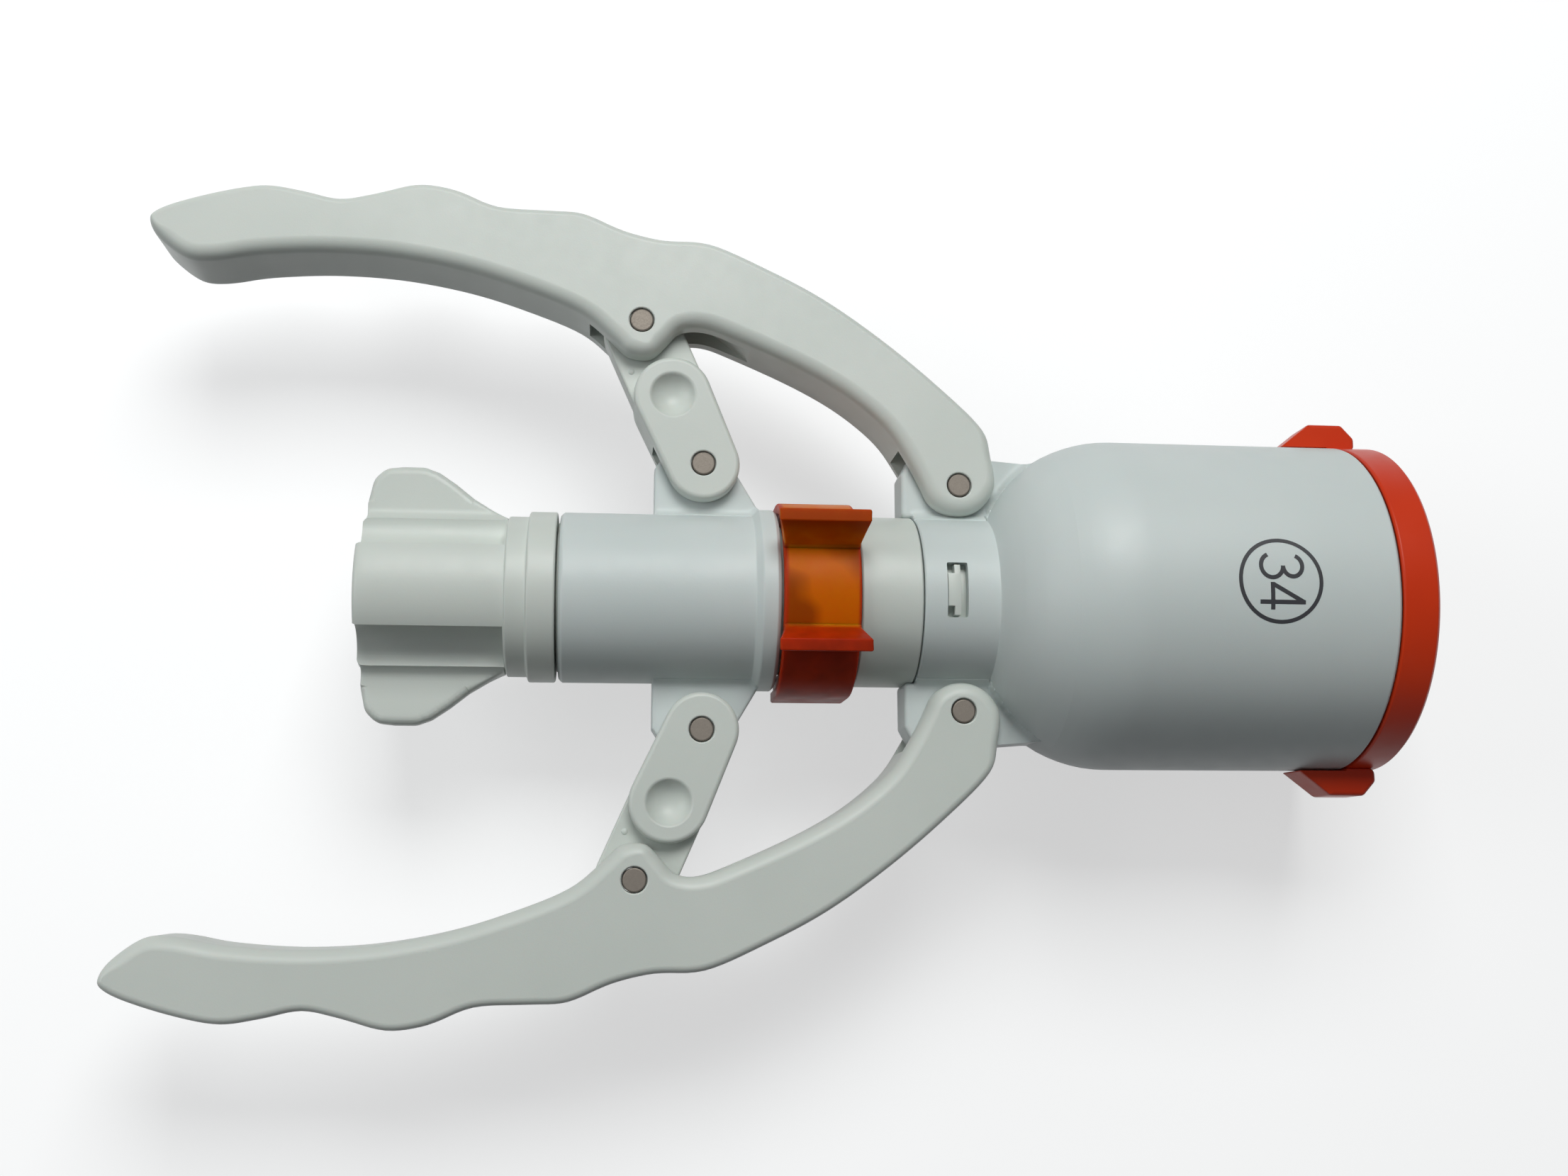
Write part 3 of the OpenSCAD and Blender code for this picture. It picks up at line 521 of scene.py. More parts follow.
def seat_cutter(place, half):
    """Cuts a pin hole with a shallow recess at both faces, whose lips are rounded."""
    lip = [(half - SEAT_LIP * (1 - math.sin(t)), SEAT_R + SEAT_LIP * (1 - math.cos(t)))
           for t in np.linspace(0, math.pi / 2, 5)]
    bed = [(half - SEAT_DEPTH, PIN_R + BORE_FIT), (half - SEAT_DEPTH, SEAT_R)]
    upper = bed + lip + [(half + OVER, SEAT_R + SEAT_LIP)]
    points = [(-z, r) for z, r in reversed(upper)] + upper
    points = [(points[0][0], 0)] + points + [(points[-1][0], 0)]
    return lathe("cutter", np.array(points), False, 48, place, "Z")


def disc_cutter(place, r, half, count=96):
    return lathe("cutter", drum(-half, half, r), False, count, place, "Z")


def outer_radius(profile):
    """The largest radius of an outline at a place along the axis."""

    def at(x):
        best = 0
        for a, b in zip(profile, np.roll(profile, -1, 0)):
            if min(a[0], b[0]) <= x <= max(a[0], b[0]) and abs(a[0] - b[0]) > 1e-9:
                best = max(best, a[1] + (b[1] - a[1]) * (x - a[0]) / (b[0] - a[0]))
        return best

    return at


def lug(name, loop, half, edge, radius_at, fillet, sink=1.5 * MM, grid=0.35 * MM):
    """A plate that grows out of a turned body, with a fillet where the two meet."""
    loop = np.array([p if math.hypot(p[1], half) > radius_at(p[0]) + 0.1 * MM else (p[0], p[1] - sink)
                     for p in loop])
    obj = plate(name, loop, half, edge, 4)
    bm = bmesh.new()
    bm.from_mesh(obj.data)
    low, high = loop.min(0), loop.max(0)
    for axis in (0, 1):
        place = low[axis] + grid
        while place < high[axis]:
            co, no = [0, 0, 0], [0, 0, 0]
            co[axis], no[axis] = place, 1
            parts = list(bm.verts) + list(bm.edges) + list(bm.faces)
            bmesh.ops.bisect_plane(bm, geom=parts, plane_co=co, plane_no=no)
            place += grid
    for v in bm.verts:
        gap = math.hypot(v.co.y, v.co.z) - radius_at(v.co.x)
        if gap < fillet and abs(v.co.z) > 1e-6:
            rest = fillet - max(gap, 0)
            v.co.z += math.copysign(fillet - math.sqrt(max(fillet ** 2 - rest ** 2, 0)), v.co.z)
    bm.to_mesh(obj.data)
    bm.free()
    return obj


def joined(name, objects):
    bm = bmesh.new()
    for obj in objects:
        bm.from_mesh(obj.data)
        bpy.data.objects.remove(obj)
    return new_object(name, bm)


# Materials
class Tree:
    def __init__(self, tree):
        self.tree = tree

    def link(self, source, target):
        self.tree.links.new(source, target)

    def span(self, source, low, high, out_low, out_high):
        node = self.tree.nodes.new("ShaderNodeMapRange")
        for key, value in zip(("From Min", "From Max", "To Min", "To Max"), (low, high, out_low, out_high)):
            node.inputs[key].default_value = value
        self.link(source, node.inputs["Value"])
        return node.outputs["Result"]

    def mix(self, factor, a, b):
        node = self.tree.nodes.new("ShaderNodeMix")
        node.data_type = "RGBA"
        self.link(factor, node.inputs["Factor"])
        for value, key in ((a, "A"), (b, "B")):
            socket = [s for s in node.inputs if s.name == key and s.type == "RGBA"][0]
            if isinstance(value, tuple):
                socket.default_value = (*value, 1)
            else:
                self.link(value, socket)
        return [s for s in node.outputs if s.type == "RGBA"][0]

    def most(self, *sources):
        """The largest of the values."""
        out = sources[0]
        for source in sources[1:]:
            node = self.tree.nodes.new("ShaderNodeMath")
            node.operation = "MAXIMUM"
            self.link(out, node.inputs[0])
            self.link(source, node.inputs[1])
            out = node.outputs[0]
        return out

    def seen(self):
        """One for the rays that show the surface to the eye, and nothing for the light that it throws."""
        rays = self.tree.nodes.new("ShaderNodeLightPath").outputs
        return self.most(rays["Is Camera Ray"], rays["Is Glossy Ray"], rays["Is Transmission Ray"])


class Nodes(Tree):
    def __init__(self, name):
        self.name = name
        self.material = bpy.data.materials.new(name)
        self.material.use_nodes = True
        super().__init__(self.material.node_tree)
        self.shader = self.tree.nodes["Principled BSDF"]
        self.place = self.tree.nodes.new("ShaderNodeTexCoord").outputs["Object"]

    def set(self, **values):
        for key, value in values.items():
            self.shader.inputs[key.replace("_", " ")].default_value = value

    def noise(self, scale, detail=2.0, place=None, distortion=0.0):
        node = self.tree.nodes.new("ShaderNodeTexNoise")
        node.inputs["Scale"].default_value = scale
        node.inputs["Detail"].default_value = detail
        node.inputs["Distortion"].default_value = distortion
        self.link(place or self.place, node.inputs["Vector"])
        return node.outputs["Fac"]

    def stretched(self, scale):
        node = self.tree.nodes.new("ShaderNodeMapping")
        node.inputs["Scale"].default_value = scale
        self.link(self.place, node.inputs["Vector"])
        return node.outputs["Vector"]

    def bump(self, height, distance, strength=1.0, normal=None):
        node = self.tree.nodes.new("ShaderNodeBump")
        node.inputs["Distance"].default_value = distance
        node.inputs["Strength"].default_value = strength
        self.link(height, node.inputs["Height"])
        if normal is not None:
            self.link(normal, node.inputs["Normal"])
        return node.outputs["Normal"]

    def colour(self, source):
        self.link(source, self.shader.inputs["Base Color"])

    def roughness(self, source):
        self.link(source, self.shader.inputs["Roughness"])

    def normal(self, source):
        self.link(source, self.shader.inputs["Normal"])


def grained(n, grain, waves=0.05):
    """A fine spark-eroded grain over faint sink waves, in mm."""
    waved = n.bump(n.noise(55, 1), waves * MM, 0.6)
    n.normal(n.bump(n.noise(4200, 2), grain * MM, 0.5, waved))


def moulded(name, light, dark, rough, grain=0.012, gloss=0.5):
    """Moulded plastic: grained, and a little uneven in colour and gloss."""
    n = Nodes(name)
    n.colour(n.mix(n.span(n.noise(38, 3), 0.35, 0.65, 0, 1), light, dark))
    n.roughness(n.span(n.noise(420, 3), 0.3, 0.7, rough - 0.03, rough + 0.04))
    grained(n, grain)
    n.set(IOR=1.52, Specular_IOR_Level=gloss)
    return n


def metal(name, light, dark, rough, grain, stretch=None, fineness=1.0):
    """Metal with a fine grain, which can be drawn out along an axis."""
    n = Nodes(name)
    place = n.stretched(stretch) if stretch else n.place
    n.colour(n.mix(n.noise(900 * fineness, 3, place), light, dark))
    n.roughness(n.span(n.noise(2600 * fineness, 2, place), 0.3, 0.7, rough - 0.06, rough + 0.08))
    n.normal(n.bump(n.noise(5200 * fineness, 2, place), grain * MM, 0.6))
    n.set(Metallic=1.0)
    return n


def clear_amber(name):
    """The catch's clear plastic: pale and orange where it is thin, red where it is seen through its depth. Light
    and shade are painted on as well: a brighter glow on the grips' slope for light shining through, lit orange on
    the +Y side and shaded dark red on the −Y side, which the saddle's −Y side takes too.
    """
    n = Nodes(name)
    off_axis = n.tree.nodes.new("ShaderNodeVectorMath")
    off_axis.operation = "LENGTH"
    n.link(n.stretched((0, 1, 1)), off_axis.inputs[0])
    radius = off_axis.outputs["Value"]
    parts = n.tree.nodes.new("ShaderNodeSeparateXYZ")
    n.link(n.place, parts.inputs[0])
    x, y = parts.outputs["X"], parts.outputs["Y"]
    web = n.mix(n.span(n.noise(130, 1), 0.42, 0.6, 0, 1), (0.6, 0.135, 0.0003), (0.33, 0.06, 0.0003))
    rear_end = n.span(x, CATCH_LOW.x + 0.7 * MM, CATCH_LOW.x + 0.3 * MM, 0, 1)
    front_end = n.span(x, WEB_FRONT - 0.55 * MM, WEB_FRONT - 0.2 * MM, 0, 1)
    web = n.mix(n.most(rear_end, front_end), web, (0.42, 0.035, 0.006))
    cloud = n.span(n.noise(300, 2), 0.35, 0.65, 0, 1)
    # Painted light: the slope's brighter orange stands in for light shining through it, and it goes redder towards
    # the lip
    glow = n.mix(cloud, (0.85, 0.27, 0.001), (0.75, 0.2, 0.001))
    orange = n.mix(n.span(radius, 14 * MM, 19 * MM, 0, 1), glow, (0.38, 0.055, 0.001))
    shaded_deep_red = n.mix(cloud, (0.4, 0.022, 0.001), (0.3, 0.017, 0.001))
    # Painted light and shade: the grips go from lit orange on the +Y side to shaded dark red on the −Y side
    thick_lit_to_shaded = n.mix(n.span(y, -6.5 * MM, 10 * MM, 0, 1), shaded_deep_red, orange)
    # The grips take that colour, and the saddle's −Y side takes it too as painted shade
    solid = n.most(n.span(radius, 13.6 * MM, 14.2 * MM, 0, 1), n.span(y, -5.8 * MM, -6.8 * MM, 0, 1))
    n.colour(n.mix(solid, web, thick_lit_to_shaded))
    n.roughness(n.span(n.noise(420, 3), 0.3, 0.7, 0.34, 0.44))
    grained(n, 0.004)
    n.set(IOR=1.52, Specular_IOR_Level=0.06)
    n.set(Subsurface_Weight=0.75, Subsurface_Scale=0.0022, Subsurface_Radius=(1, 0.4, 0.05))
    return n


WHITE = moulded("white_plastic", (0.62, 0.655, 0.615), (0.585, 0.625, 0.585), 0.4, gloss=0.4)
COOL = moulded("white_plastic_cool", (0.61, 0.66, 0.65), (0.575, 0.63, 0.62), 0.42, gloss=0.35)
for pale_plastic in (WHITE, COOL):
    pale_plastic.set(Subsurface_Weight=0.06, Subsurface_Scale=0.0006)
INNER = moulded("inner_plastic", (0.66, 0.67, 0.65), (0.62, 0.63, 0.61), 0.45)
WASHER = moulded("washer_plastic", (0.64, 0.61, 0.5), (0.6, 0.57, 0.46), 0.5)
RED = moulded("red_plastic", (0.64, 0.04, 0.004), (0.56, 0.03, 0.003), 0.34, 0.006, gloss=0.2)
PIN = metal("pin_steel", (0.2, 0.176, 0.15), (0.165, 0.145, 0.125), 0.55, 0.002, fineness=2.4)
STEEL = metal("blade_steel", (0.66, 0.67, 0.68), (0.56, 0.57, 0.58), 0.26, 0.004, (0.15, 1, 1))
BRASS = metal("nut_brass", (0.72, 0.56, 0.27), (0.62, 0.46, 0.2), 0.3, 0.006)
AMBER = clear_amber("amber_plastic")
INK = moulded("mark_ink", (0.012, 0.012, 0.016), (0.02, 0.02, 0.024), 0.42, 0.006)


def dress(obj, look, body=None, replaced=()):
    """Gives a piece its material, and a new piece its body and the CAD nodes that it stands for."""
    obj.data.materials.clear()
    obj.data.materials.append(look.material)
    if body:
        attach(obj, body)
    if replaced:
        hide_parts(*replaced)
    return obj


for node, look in {
    "drive_keys": PIN, "pusher": INNER, "ring_knife": STEEL, "staple_cartridge": INNER,
    "staples": STEEL, "return_spring": STEEL, "anvil_ring": STEEL, "cutting_washer": WASHER,
    "pull_rod": STEEL, "knob_nut": BRASS, "knob_retaining_ring": STEEL,
}.items():
    NODES[node].data.materials.clear()
    NODES[node].data.materials.append(look.material)


# The head's housing: a turned shell, two lugs for the handles and the snap windows
housing_points, housing_closed = section("head_housing", 45)
housing_points = rounded(housing_points, SHELL_ROUND)
housing_radius = outer_radius(housing_points)
shell = lathe("shell", housing_points, housing_closed, 224)
lug_loops = [p for p in face_loops("head_housing", LUG_HALF)
             if p[:, 1].min() > 0 and p[:, 1].max() > PIVOT[1] + 4 * MM]
lug_loop = max(lug_loops, key=lambda p: abs(area(p)))
upper_lug = lug("upper_lug", rounded(lug_loop, LUG_CORNER), LUG_HALF, LUG_ROUND, housing_radius, LUG_FILLET)
lower_lug = mirrored(upper_lug, "lower_lug")
SEAM_X = min(x for x, r in housing_points)
tab_corners = [p for p in points_of("guide_tube") if p.x > SEAM_X + 1 * MM and p.z > TAB_LOW]
TAB_X, TAB_HALF = min(p.x for p in tab_corners), max(p.y for p in tab_corners)
window_low, window_high = TAB_X - WINDOW_BACK, TAB_X + WINDOW_LEN
window_half = TAB_HALF + WINDOW_FIT
windows = []
for side in (1, -1):
    outline = rounded(np.array([
        (window_low, -window_half), (window_high, -window_half),
        (window_high, window_half), (window_low, window_half)]), WINDOW_ROUND)
    block = plate("cutter", outline, WINDOW_THICK_HALF, CUT_EDGE, 1)
    block.data.transform(Matrix.Translation((0, 0, side * WINDOW_Z)))
    windows.append(block)
boolean(shell, windows, "DIFFERENCE")
housing = joined("housing", [shell, upper_lug, lower_lug])
dress(soften(housing), COOL, "root", replaced=["head_housing"])

# The guide tube: turned, with its shoulder, a slot for the drive keys and two hooked snap tabs in the windows
tube_points, tube_closed = section("guide_tube", 45)
seam = (tube_points[:, 0] > SEAM_X - SEAM_ZONE[0]) & (tube_points[:, 0] < SEAM_X + SEAM_ZONE[1])
tube_points[seam, 0] -= SEAM_DARK
barrel = lathe("barrel_turned", rounded(tube_points, TUBE_ROUND), tube_closed, 192)
key_low, key_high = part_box("drive_keys")
key_r, key_x = (key_high.x - key_low.x) / 2 + KEY_FIT, (key_low.x + key_high.x) / 2
key_path = two_circles((key_x - KEY_SPARE, 0), key_r, (key_x + STROKE + KEY_SPARE, 0), key_r)
boolean(barrel, [plate("cutter", key_path, KEY_SLOT_HALF, CUT_EDGE, 1)], "DIFFERENCE")
tab_r = housing_radius(TAB_X) - TAB_SUNK
hook_x = TAB_X + TAB_OPEN
hook_end = hook_x + TAB_HOOK
stem_half = TAB_HALF - TAB_STEP
tab_loop = np.array([
    (TAB_X, -stem_half), (hook_x, -stem_half), (hook_x, -TAB_HALF), (hook_end, -TAB_HALF),
    (hook_end, TAB_HALF), (hook_x, TAB_HALF), (hook_x, stem_half), (TAB_X, stem_half)])
tab = plate("tab", tab_loop, TAB_THICK_HALF, CUT_EDGE, 1)
tab.data.transform(Matrix.Translation((0, 0, TAB_Z)))
neck = lathe("cutter", drum(TAB_X - 2 * MM, hook_x + 4 * MM, tab_r), False, 360)
boolean(tab, [neck], "INTERSECT")
soften(tab, TAB_ROUND, 2)
under_tab = mirrored(tab, "under_tab", (1, 1, -1, 1))
barrel = joined("barrel", [barrel, tab, under_tab])
dress(soften(barrel), WHITE, "root", replaced=["guide_tube"])

# The push sleeve: a turned shell with an ear for each link
sleeve_points, sleeve_closed = section("push_sleeve", 45)
sleeve_points = rounded(sleeve_points, SLEEVE_ROUND)
sleeve_radius = outer_radius(sleeve_points)
sleeve_shell = lathe("sleeve_shell", sleeve_points, sleeve_closed, 192)
ear_loops = [p for p in face_loops("push_sleeve", EAR_HALF) if p[:, 1].min() > 0]
ear_loop = max(ear_loops, key=lambda p: abs(area(p)))
upper_ear = lug("upper_ear", ear_loop, EAR_HALF, EAR_ROUND, sleeve_radius, EAR_FILLET)
boolean(upper_ear, [disc_cutter(SLEEVE_PIN, PIN_R + EAR_SLACK, THROUGH, 64)], "DIFFERENCE")
lower_ear = mirrored(upper_ear, "lower_ear")
sleeve = joined("sleeve", [sleeve_shell, upper_ear, lower_ear])
dress(soften(sleeve), COOL, "push_sleeve", replaced=["push_sleeve"])

# The handles, with the fork for the housing's lug and the slot that the link's tongue sweeps
link_loops = face_loops("upper_link", LINK_HALF)
dimple = min(link_loops[1:], key=lambda p: abs(np.ptp(p[:, 0]) / 2 - DIMPLE_R)).mean(0)
swing = math.radians(joint_span("handle_squeeze") * ratio("upper_link_swing"))
slot_r = TONGUE_R + TONGUE_FIT
swept = []
for t in np.linspace(0, swing, 9):
    ahead = Matrix.Rotation(t, 2) @ Vector(dimple - LINK_PIN)
    swept.append(two_circles(LINK_PIN, slot_r, LINK_PIN + np.array(ahead), slot_r))
swept += [swept[0] - (SLOT_SPARE[0], 0), swept[-1] + (SLOT_SPARE[1], 0)]
tongue_slot = plate("cutter", hull(np.concatenate(swept)), TONGUE_SLOT_HALF, CUT_EDGE, 1)
handle_loop = smooth_loop(face_loops("upper_handle", HANDLE_HALF)[0], 2)
facing_out = np.clip(0.5 - inwards(handle_loop)[0][:, 1], 0, 1)
handle_edge = HANDLE_ROUND + (HANDLE_OUTER_ROUND - HANDLE_ROUND) * facing_out
handle = plate("handle_upper", handle_loop, HANDLE_HALF, handle_edge, 7)
boolean(handle, [
    disc_cutter(PIVOT, FORK_R, FORK_HALF), tongue_slot,
    seat_cutter(PIVOT, HANDLE_HALF), seat_cutter(LINK_PIN, HANDLE_HALF)], "DIFFERENCE")
lower = mirrored(handle, "handle_lower")
for obj, body in ((handle, "upper_handle"), (lower, "lower_handle")):
    dress(soften(obj), WHITE, body, replaced=[body])

# The links: a body with a dimple, forked over the sleeve's ear, and a tongue in the handle
link = plate("link_upper", two_circles(SLEEVE_PIN, LINK_END_R, dimple, LINK_CROWN_R), LINK_HALF, LINK_ROUND)
ball_r = (DIMPLE_R ** 2 + DIMPLE_DEPTH ** 2) / (2 * DIMPLE_DEPTH)
bowl = [(LINK_HALF - DIMPLE_DEPTH + ball_r * (1 - math.cos(t)), ball_r * math.sin(t))
        for t in np.linspace(0, math.asin(DIMPLE_R / ball_r) * DIMPLE_SHARE, 12)]
bowl_height, bowl_r = bowl[-1]
rim = [(LINK_HALF - RIM_DROP * (1 - s) ** 2, bowl_r + RIM_WIDTH * s) for s in (0.35, 0.7, 1)]
bowl += [p for p in rim if p[0] > bowl_height]
bowl += [(LINK_HALF + OVER, bowl_r + RIM_WIDTH + 0.01 * MM), (LINK_HALF + OVER, 0)]
top_bowl = lathe("cutter", np.array(bowl), False, 72, dimple, "Z")
low_bowl = lathe("cutter", np.array([(-z, r) for z, r in bowl]), False, 72, dimple, "Z")
boolean(link, [
    disc_cutter(SLEEVE_PIN, LINK_FORK_R, LINK_FORK_HALF),
    seat_cutter(SLEEVE_PIN, LINK_HALF), top_bowl, low_bowl], "DIFFERENCE")
tongue = plate("tongue", two_circles(dimple, TONGUE_R, LINK_PIN, TONGUE_R), TONGUE_HALF, TONGUE_ROUND, 3)
dot_points = np.array([(TONGUE_HALF + rise, r) for rise, r in DOT_PROFILE])
dot = lathe("dot", dot_points, False, 24, EJECTOR_DOT, "Z")
boolean(tongue, [disc_cutter(LINK_PIN, PIN_R + BORE_FIT, THROUGH, 48),
                 disc_cutter(SLEEVE_PIN, LINK_FORK_R, THROUGH)], "DIFFERENCE")
link = joined("link_upper", [link, tongue, dot])
lower = mirrored(link, "link_lower")
for obj, body in ((link, "upper_link"), (lower, "lower_link")):
    dress(soften(obj), WHITE, body, replaced=[body])

# The hinge pins, with a turned chamfer at each end
for node, body in {
    "upper_pivot_pin": "root", "lower_pivot_pin": "root", "upper_link_pin": "upper_handle",
    "lower_link_pin": "lower_handle", "upper_sleeve_pin": "upper_link", "lower_sleeve_pin": "lower_link",
}.items():
    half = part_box(node)[1].z
    end = [(half, 0)] + [(half - drop, PIN_R - step) for drop, step in PIN_CHAMFER]
    points = np.array(end + [(-z, r) for z, r in reversed(end)])
    pin = lathe("pin_" + node.replace("_pin", ""), points, False, 48, spot(node), "Z")
    dress(soften(pin, angle=12), PIN, body, replaced=[node])

# The knob: a fluted grip with a domed rear edge and two wings, a waist and a flange
knob_points, knob_closed = section("adjusting_knob", 10)
near_rear = knob_points[:, 0] < KNOB_REAR + KNOB_REAR_ZONE
on_rear = knob_points[:, 0] < KNOB_REAR + KNOB_REAR_FACE
rim_r = knob_points[near_rear, 1].max()
chamfer = near_rear & ~on_rear & (knob_points[:, 1] > 0.8 * rim_r)
knob_points[on_rear & (knob_points[:, 1] > 0.7 * rim_r), 1] = rim_r
knob_rounds = np.where(on_rear, KNOB_ROUND, KNOB_EDGE)
knob_points = rounded(knob_points[~chamfer], knob_rounds[~chamfer], knob_closed, steps=8)
knob_radius = outer_radius(knob_points)
knob = lathe("knob", knob_points, knob_closed, 192)
knob_loops = face_loops("adjusting_knob", WING_HALF)
grip_front = max(p[0] for p in knob_loops[0])
flute_at = knob_radius((KNOB_REAR + grip_front) / 2) + FLUTE_OUT
flutes = []
for a in (FLUTE_ANGLE, -FLUTE_ANGLE, math.pi - FLUTE_ANGLE, math.pi + FLUTE_ANGLE):
    flute = lathe("cutter", drum(KNOB_REAR - OVER, grip_front, FLUTE_R), False, 64)
    flute.data.transform(Matrix.Rotation(a, 4, "X") @ Matrix.Translation((0, 0, flute_at)))
    flutes.append(flute)
boolean(knob, flutes, "DIFFERENCE")
wing_loop = rounded(next(p for p in knob_loops if p[:, 1].min() > 0), WING_CORNER, least=4)
upper_wing = lug("upper_wing", wing_loop, WING_HALF, WING_ROUND, knob_radius, WING_FILLET)
lower_wing = mirrored(upper_wing, "lower_wing")
knob = joined("knob_grip", [knob, upper_wing, lower_wing])
dress(soften(knob), WHITE, "knob", replaced=["adjusting_knob"])

# The bell
bell_points, bell_closed = section("bell_cup", 33)
bell = lathe("bell", rounded(bell_points, BELL_ROUND, bell_closed), bell_closed, 192)
dress(soften(bell), WHITE, "bell", replaced=["bell_cup"])


# The safety catch: a saddle with a rib that rests on the tube, and two tall finger grips
def across_axis(obj, centre):
    """Turns a plate drawn in Y and Z so that its thickness lies along the X axis, round a place on it."""
    obj.data.transform(Matrix(((0, 0, 1, centre), (1, 0, 0, 0), (0, 1, 0, 0), (0, 0, 0, 1))))
    return obj


def saddle(name, inner, outer, leg, low, high, edge):
    """A bent plate over the tube between two places along it, with straight legs."""
    turns = np.linspace(0, math.pi, 61)
    over = [(outer * math.cos(t), outer * math.sin(t)) for t in turns]
    under = [(inner * math.cos(t), inner * math.sin(t)) for t in turns[::-1]]
    loop = np.array([(outer, -leg)] + over + [(-outer, -leg), (-inner, -leg)] + under + [(inner, -leg)])
    return across_axis(plate(name, loop, (high - low) / 2, edge, 3), (low + high) / 2)


def finger_grip(name):
    """A steep wall along the saddle, with a flat lip that overhangs it at both ends."""
    top = GRIP_TOP / SADDLE_R
    wall = SADDLE_R * np.array([
        (0.53, 0.78), (0.56, 0.84), (0.61, 1.03), (0.672, 1.2), (0.69, top - 0.011), (0.684, top),
        (0.576, top), (0.568, top - 0.006), (0.48, 1.12), (0.405, 0.95), (0.36, 0.925), (0.4, 0.86)])
    half = (WEB_FRONT - CATCH_LOW.x) / 2
    outline = rounded(wall, GRIP_ROUND, least=8)
    obj = across_axis(plate(name, outline, half, CATCH_ROUND, 4), CATCH_LOW.x + half)
    for v in obj.data.vertices:
        rise = min(max((v.co.z - SADDLE_R) / (GRIP_TOP - SADDLE_R), 0), 1)
        front = v.co.x > CATCH_LOW.x + half
        v.co.x += GRIP_FLARE[1] * rise if front else -GRIP_FLARE[0] * rise
    return obj


catch_leg = -CATCH_LOW.z
web_piece = saddle("web", SADDLE_R - CATCH_WALL, SADDLE_R, catch_leg, CATCH_LOW.x, WEB_FRONT, CATCH_ROUND)
tube_r = outer_radius(tube_points)(CATCH_LOW.x + 1 * MM)
rib = saddle("rib", tube_r + RIB_FIT, SADDLE_R - CATCH_WALL / 2, catch_leg - RIB_SHORT,
             CATCH_LOW.x + RIB_ENDS[0], CATCH_LOW.x + RIB_ENDS[1], RIB_ROUND)
upper_grip = finger_grip("upper_grip")
lower_grip = mirrored(upper_grip, "lower_grip")
catch = joined("catch", [web_piece, rib, upper_grip, lower_grip])
dress(soften(catch), AMBER, "safety_catch", replaced=["safety_catch"])

# The red ring with its two pull tabs
ring_points, ring_closed = section("protective_ring", 45)
ring_turned = lathe("ring_turned", rounded(ring_points, SHELL_ROUND), ring_closed, 224)
pull_loop = next(p for p in face_loops("protective_ring", PULL_HALF) if p[:, 1].min() > 0)
upper_pull = plate("upper_tab", rounded(pull_loop, PULL_CORNER), PULL_HALF, PULL_ROUND, 4)
lower_pull = mirrored(upper_pull, "lower_tab")
red_ring = joined("red_ring", [ring_turned, upper_pull, lower_pull])
dress(soften(red_ring), RED, "protective_ring", replaced=["protective_ring"])


# The size mark: a circled 34, drawn as strokes that hug the head
def ellipse(centre, size, start, end, count=24):
    turns = np.radians(np.linspace(start, end, count))
    return [(centre[0] + size[0] * math.cos(t), centre[1] + size[1] * math.sin(t)) for t in turns]


def line(a, b, count=16):
    return [tuple(np.array(a) + (np.array(b) - np.array(a)) * t) for t in np.linspace(0, 1, count)]


def stroke(bm, path, width, closed=False):
    """A flat band along a path of reading and height places on the head, in metres."""
    path = np.array(path)
    n = len(path)
    sides = []
    for i in range(n):
        a = path[i - 1] if (i or closed) else path[i]
        b = path[(i + 1) % n] if (i < n - 1 or closed) else path[i]
        d = (b - a) / np.hypot(*(b - a))
        across = np.array([-d[1], d[0]]) * width / 2
        sides.append((path[i] + across, path[i] - across))
    r = HEAD_R + MARK_PROUD
    rows = []
    for pair in sides:
        row = []
        for u, v in pair:
            turn = -u / HEAD_R
            row.append(bm.verts.new((v, r * math.sin(turn), r * math.cos(turn))))
        rows.append(row)
    for i in range(n if closed else n - 1):
        a, b = rows[i], rows[(i + 1) % n]
        face = bm.faces.new([a[0], b[0], b[1], a[1]])
        face.normal_update()
        if face.normal.z < 0:
            face.normal_flip()


mark = bmesh.new()
centre = (-MARK_Y, MARK_X)
stroke(mark, ellipse(centre, (MARK_R - MARK_STROKE / 2,) * 2, 0, 360, 97)[:-1], MARK_STROKE, True)
half = DIGIT_STROKE / 2
waist = DIGIT_LOW + THREE_WAIST_SHARE * (DIGIT_HIGH - DIGIT_LOW)
three_mid, three_half = (THREE_LEFT + THREE_RIGHT) / 2, (THREE_RIGHT - THREE_LEFT) / 2
upper_size = (three_half - half - 0.15 * MM, (DIGIT_HIGH - waist) / 2 - half / 2)
lower_size = (three_half - half, (waist - DIGIT_LOW) / 2 - half / 2)
upper_at = (three_mid, DIGIT_HIGH - half - upper_size[1])
lower_at = (three_mid, DIGIT_LOW + half + lower_size[1])
stroke(mark, ellipse(upper_at, upper_size, 160, -90), DIGIT_STROKE)
stroke(mark, ellipse(lower_at, lower_size, 90, -160), DIGIT_STROKE)
stroke(mark, line((FOUR_STEM, DIGIT_LOW), (FOUR_STEM, DIGIT_HIGH)), DIGIT_STROKE)
stroke(mark, line((FOUR_LEFT, FOUR_BAR), (FOUR_RIGHT, FOUR_BAR)), DIGIT_STROKE)
stroke(mark, line((FOUR_LEFT + 0.2 * MM, FOUR_BAR), (FOUR_STEM, DIGIT_HIGH - 0.2 * MM)), DIGIT_STROKE)
size_mark = new_object("size_mark", mark)
dress(size_mark, INK, "root")

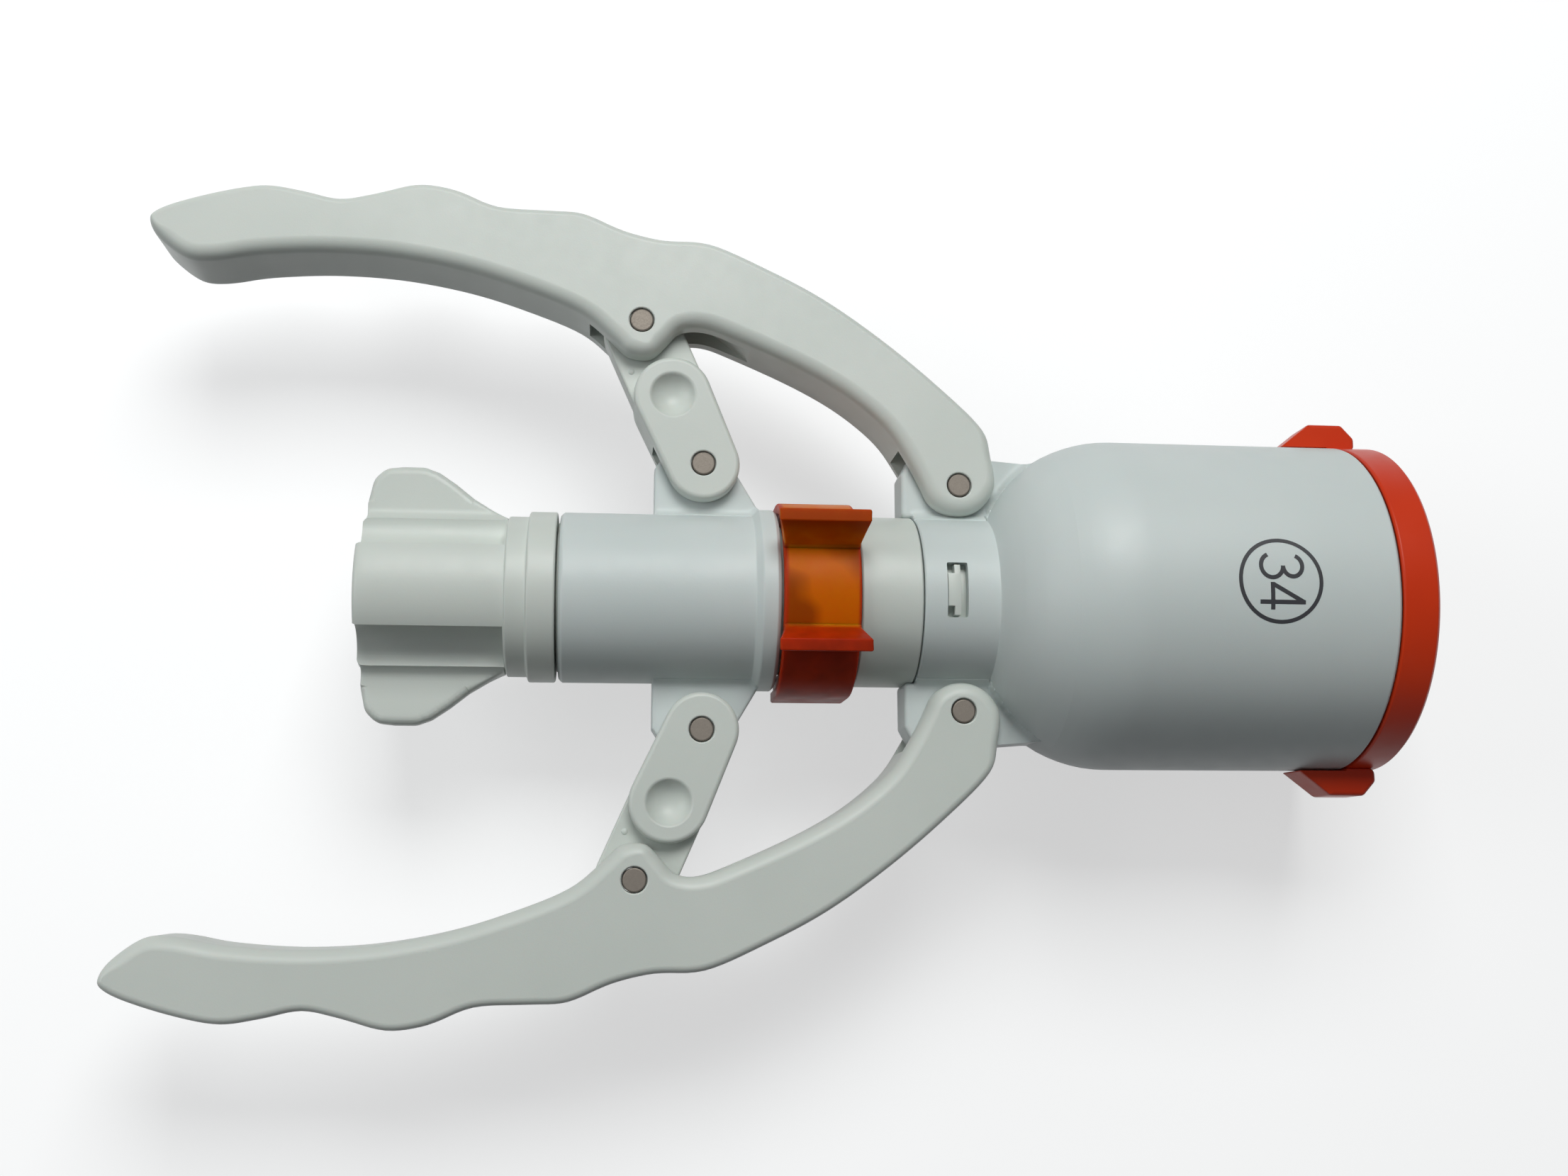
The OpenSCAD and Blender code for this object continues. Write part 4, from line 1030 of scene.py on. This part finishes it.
# The floor, the lights and the camera
ground = bmesh.new()
bmesh.ops.create_grid(ground, x_segments=1, y_segments=1, size=4)
floor = new_object("floor", ground)
floor.location = (0, 0, HEAD_LOW.z - FLOOR_DROP)
pale = Nodes("floor_pale")
seen = pale.seen()
paper = pale.mix(pale.noise(6, 2), (0.56, 0.563, 0.57), (0.545, 0.548, 0.555))
pale.colour(pale.mix(seen, (0.16, 0.16, 0.17), paper))
pale.set(Roughness=0.9, Specular_IOR_Level=0.1, Emission_Color=(1, 1, 1, 1))
pale.link(pale.span(seen, 0, 1, 0, FLOOR_LIFT), pale.shader.inputs["Emission Strength"])
floor.data.materials.append(pale.material)

world = bpy.data.worlds.new("studio")
bpy.context.scene.world = world
world.use_nodes = True
studio = Tree(world.node_tree)
backdrop = world.node_tree.nodes["Background"]
backdrop.inputs["Color"].default_value = (0.93, 0.96, 1, 1)
studio.link(studio.span(studio.seen(), 0, 1, WORLD_LIGHT, WORLD_SEEN), backdrop.inputs["Strength"])


def lamp(name, place, target, size, power, colour=(1, 1, 1)):
    data = bpy.data.lights.new(name, "AREA")
    data.shape = "RECTANGLE"
    data.size, data.size_y = size
    data.energy = power
    data.color = colour
    obj = bpy.data.objects.new(name, data)
    obj.location = place
    obj.rotation_euler = (Vector(target) - Vector(place)).to_track_quat("-Z", "Y").to_euler()
    bpy.context.scene.collection.objects.link(obj)
    return obj


CENTRE = (-0.08, 0, 0)
lamp("key", (-0.06, 0.34, 0.47), CENTRE, (0.34, 0.28), KEY_POWER, (0.985, 1, 0.985))
lamp("fill", (-0.46, 0.08, 0.26), (-0.05, 0, 0), (0.3, 0.3), FILL_POWER, (0.97, 1, 1))

camera_data = bpy.data.cameras.new("camera")
camera_data.sensor_width = SENSOR
camera_data.lens = SENSOR * FOCAL_PX / WIDTH_PX
camera_data.clip_start = 0.01
camera = bpy.data.objects.new("camera", camera_data)
camera.location = CAMERA_PLACE
camera.rotation_mode = "QUATERNION"
turn = Vector(CAMERA_TURN)
camera.rotation_quaternion = Quaternion(turn.normalized(), turn.length)
bpy.context.scene.collection.objects.link(camera)
bpy.context.scene.camera = camera

bpy.context.scene.view_settings.view_transform = "Standard"
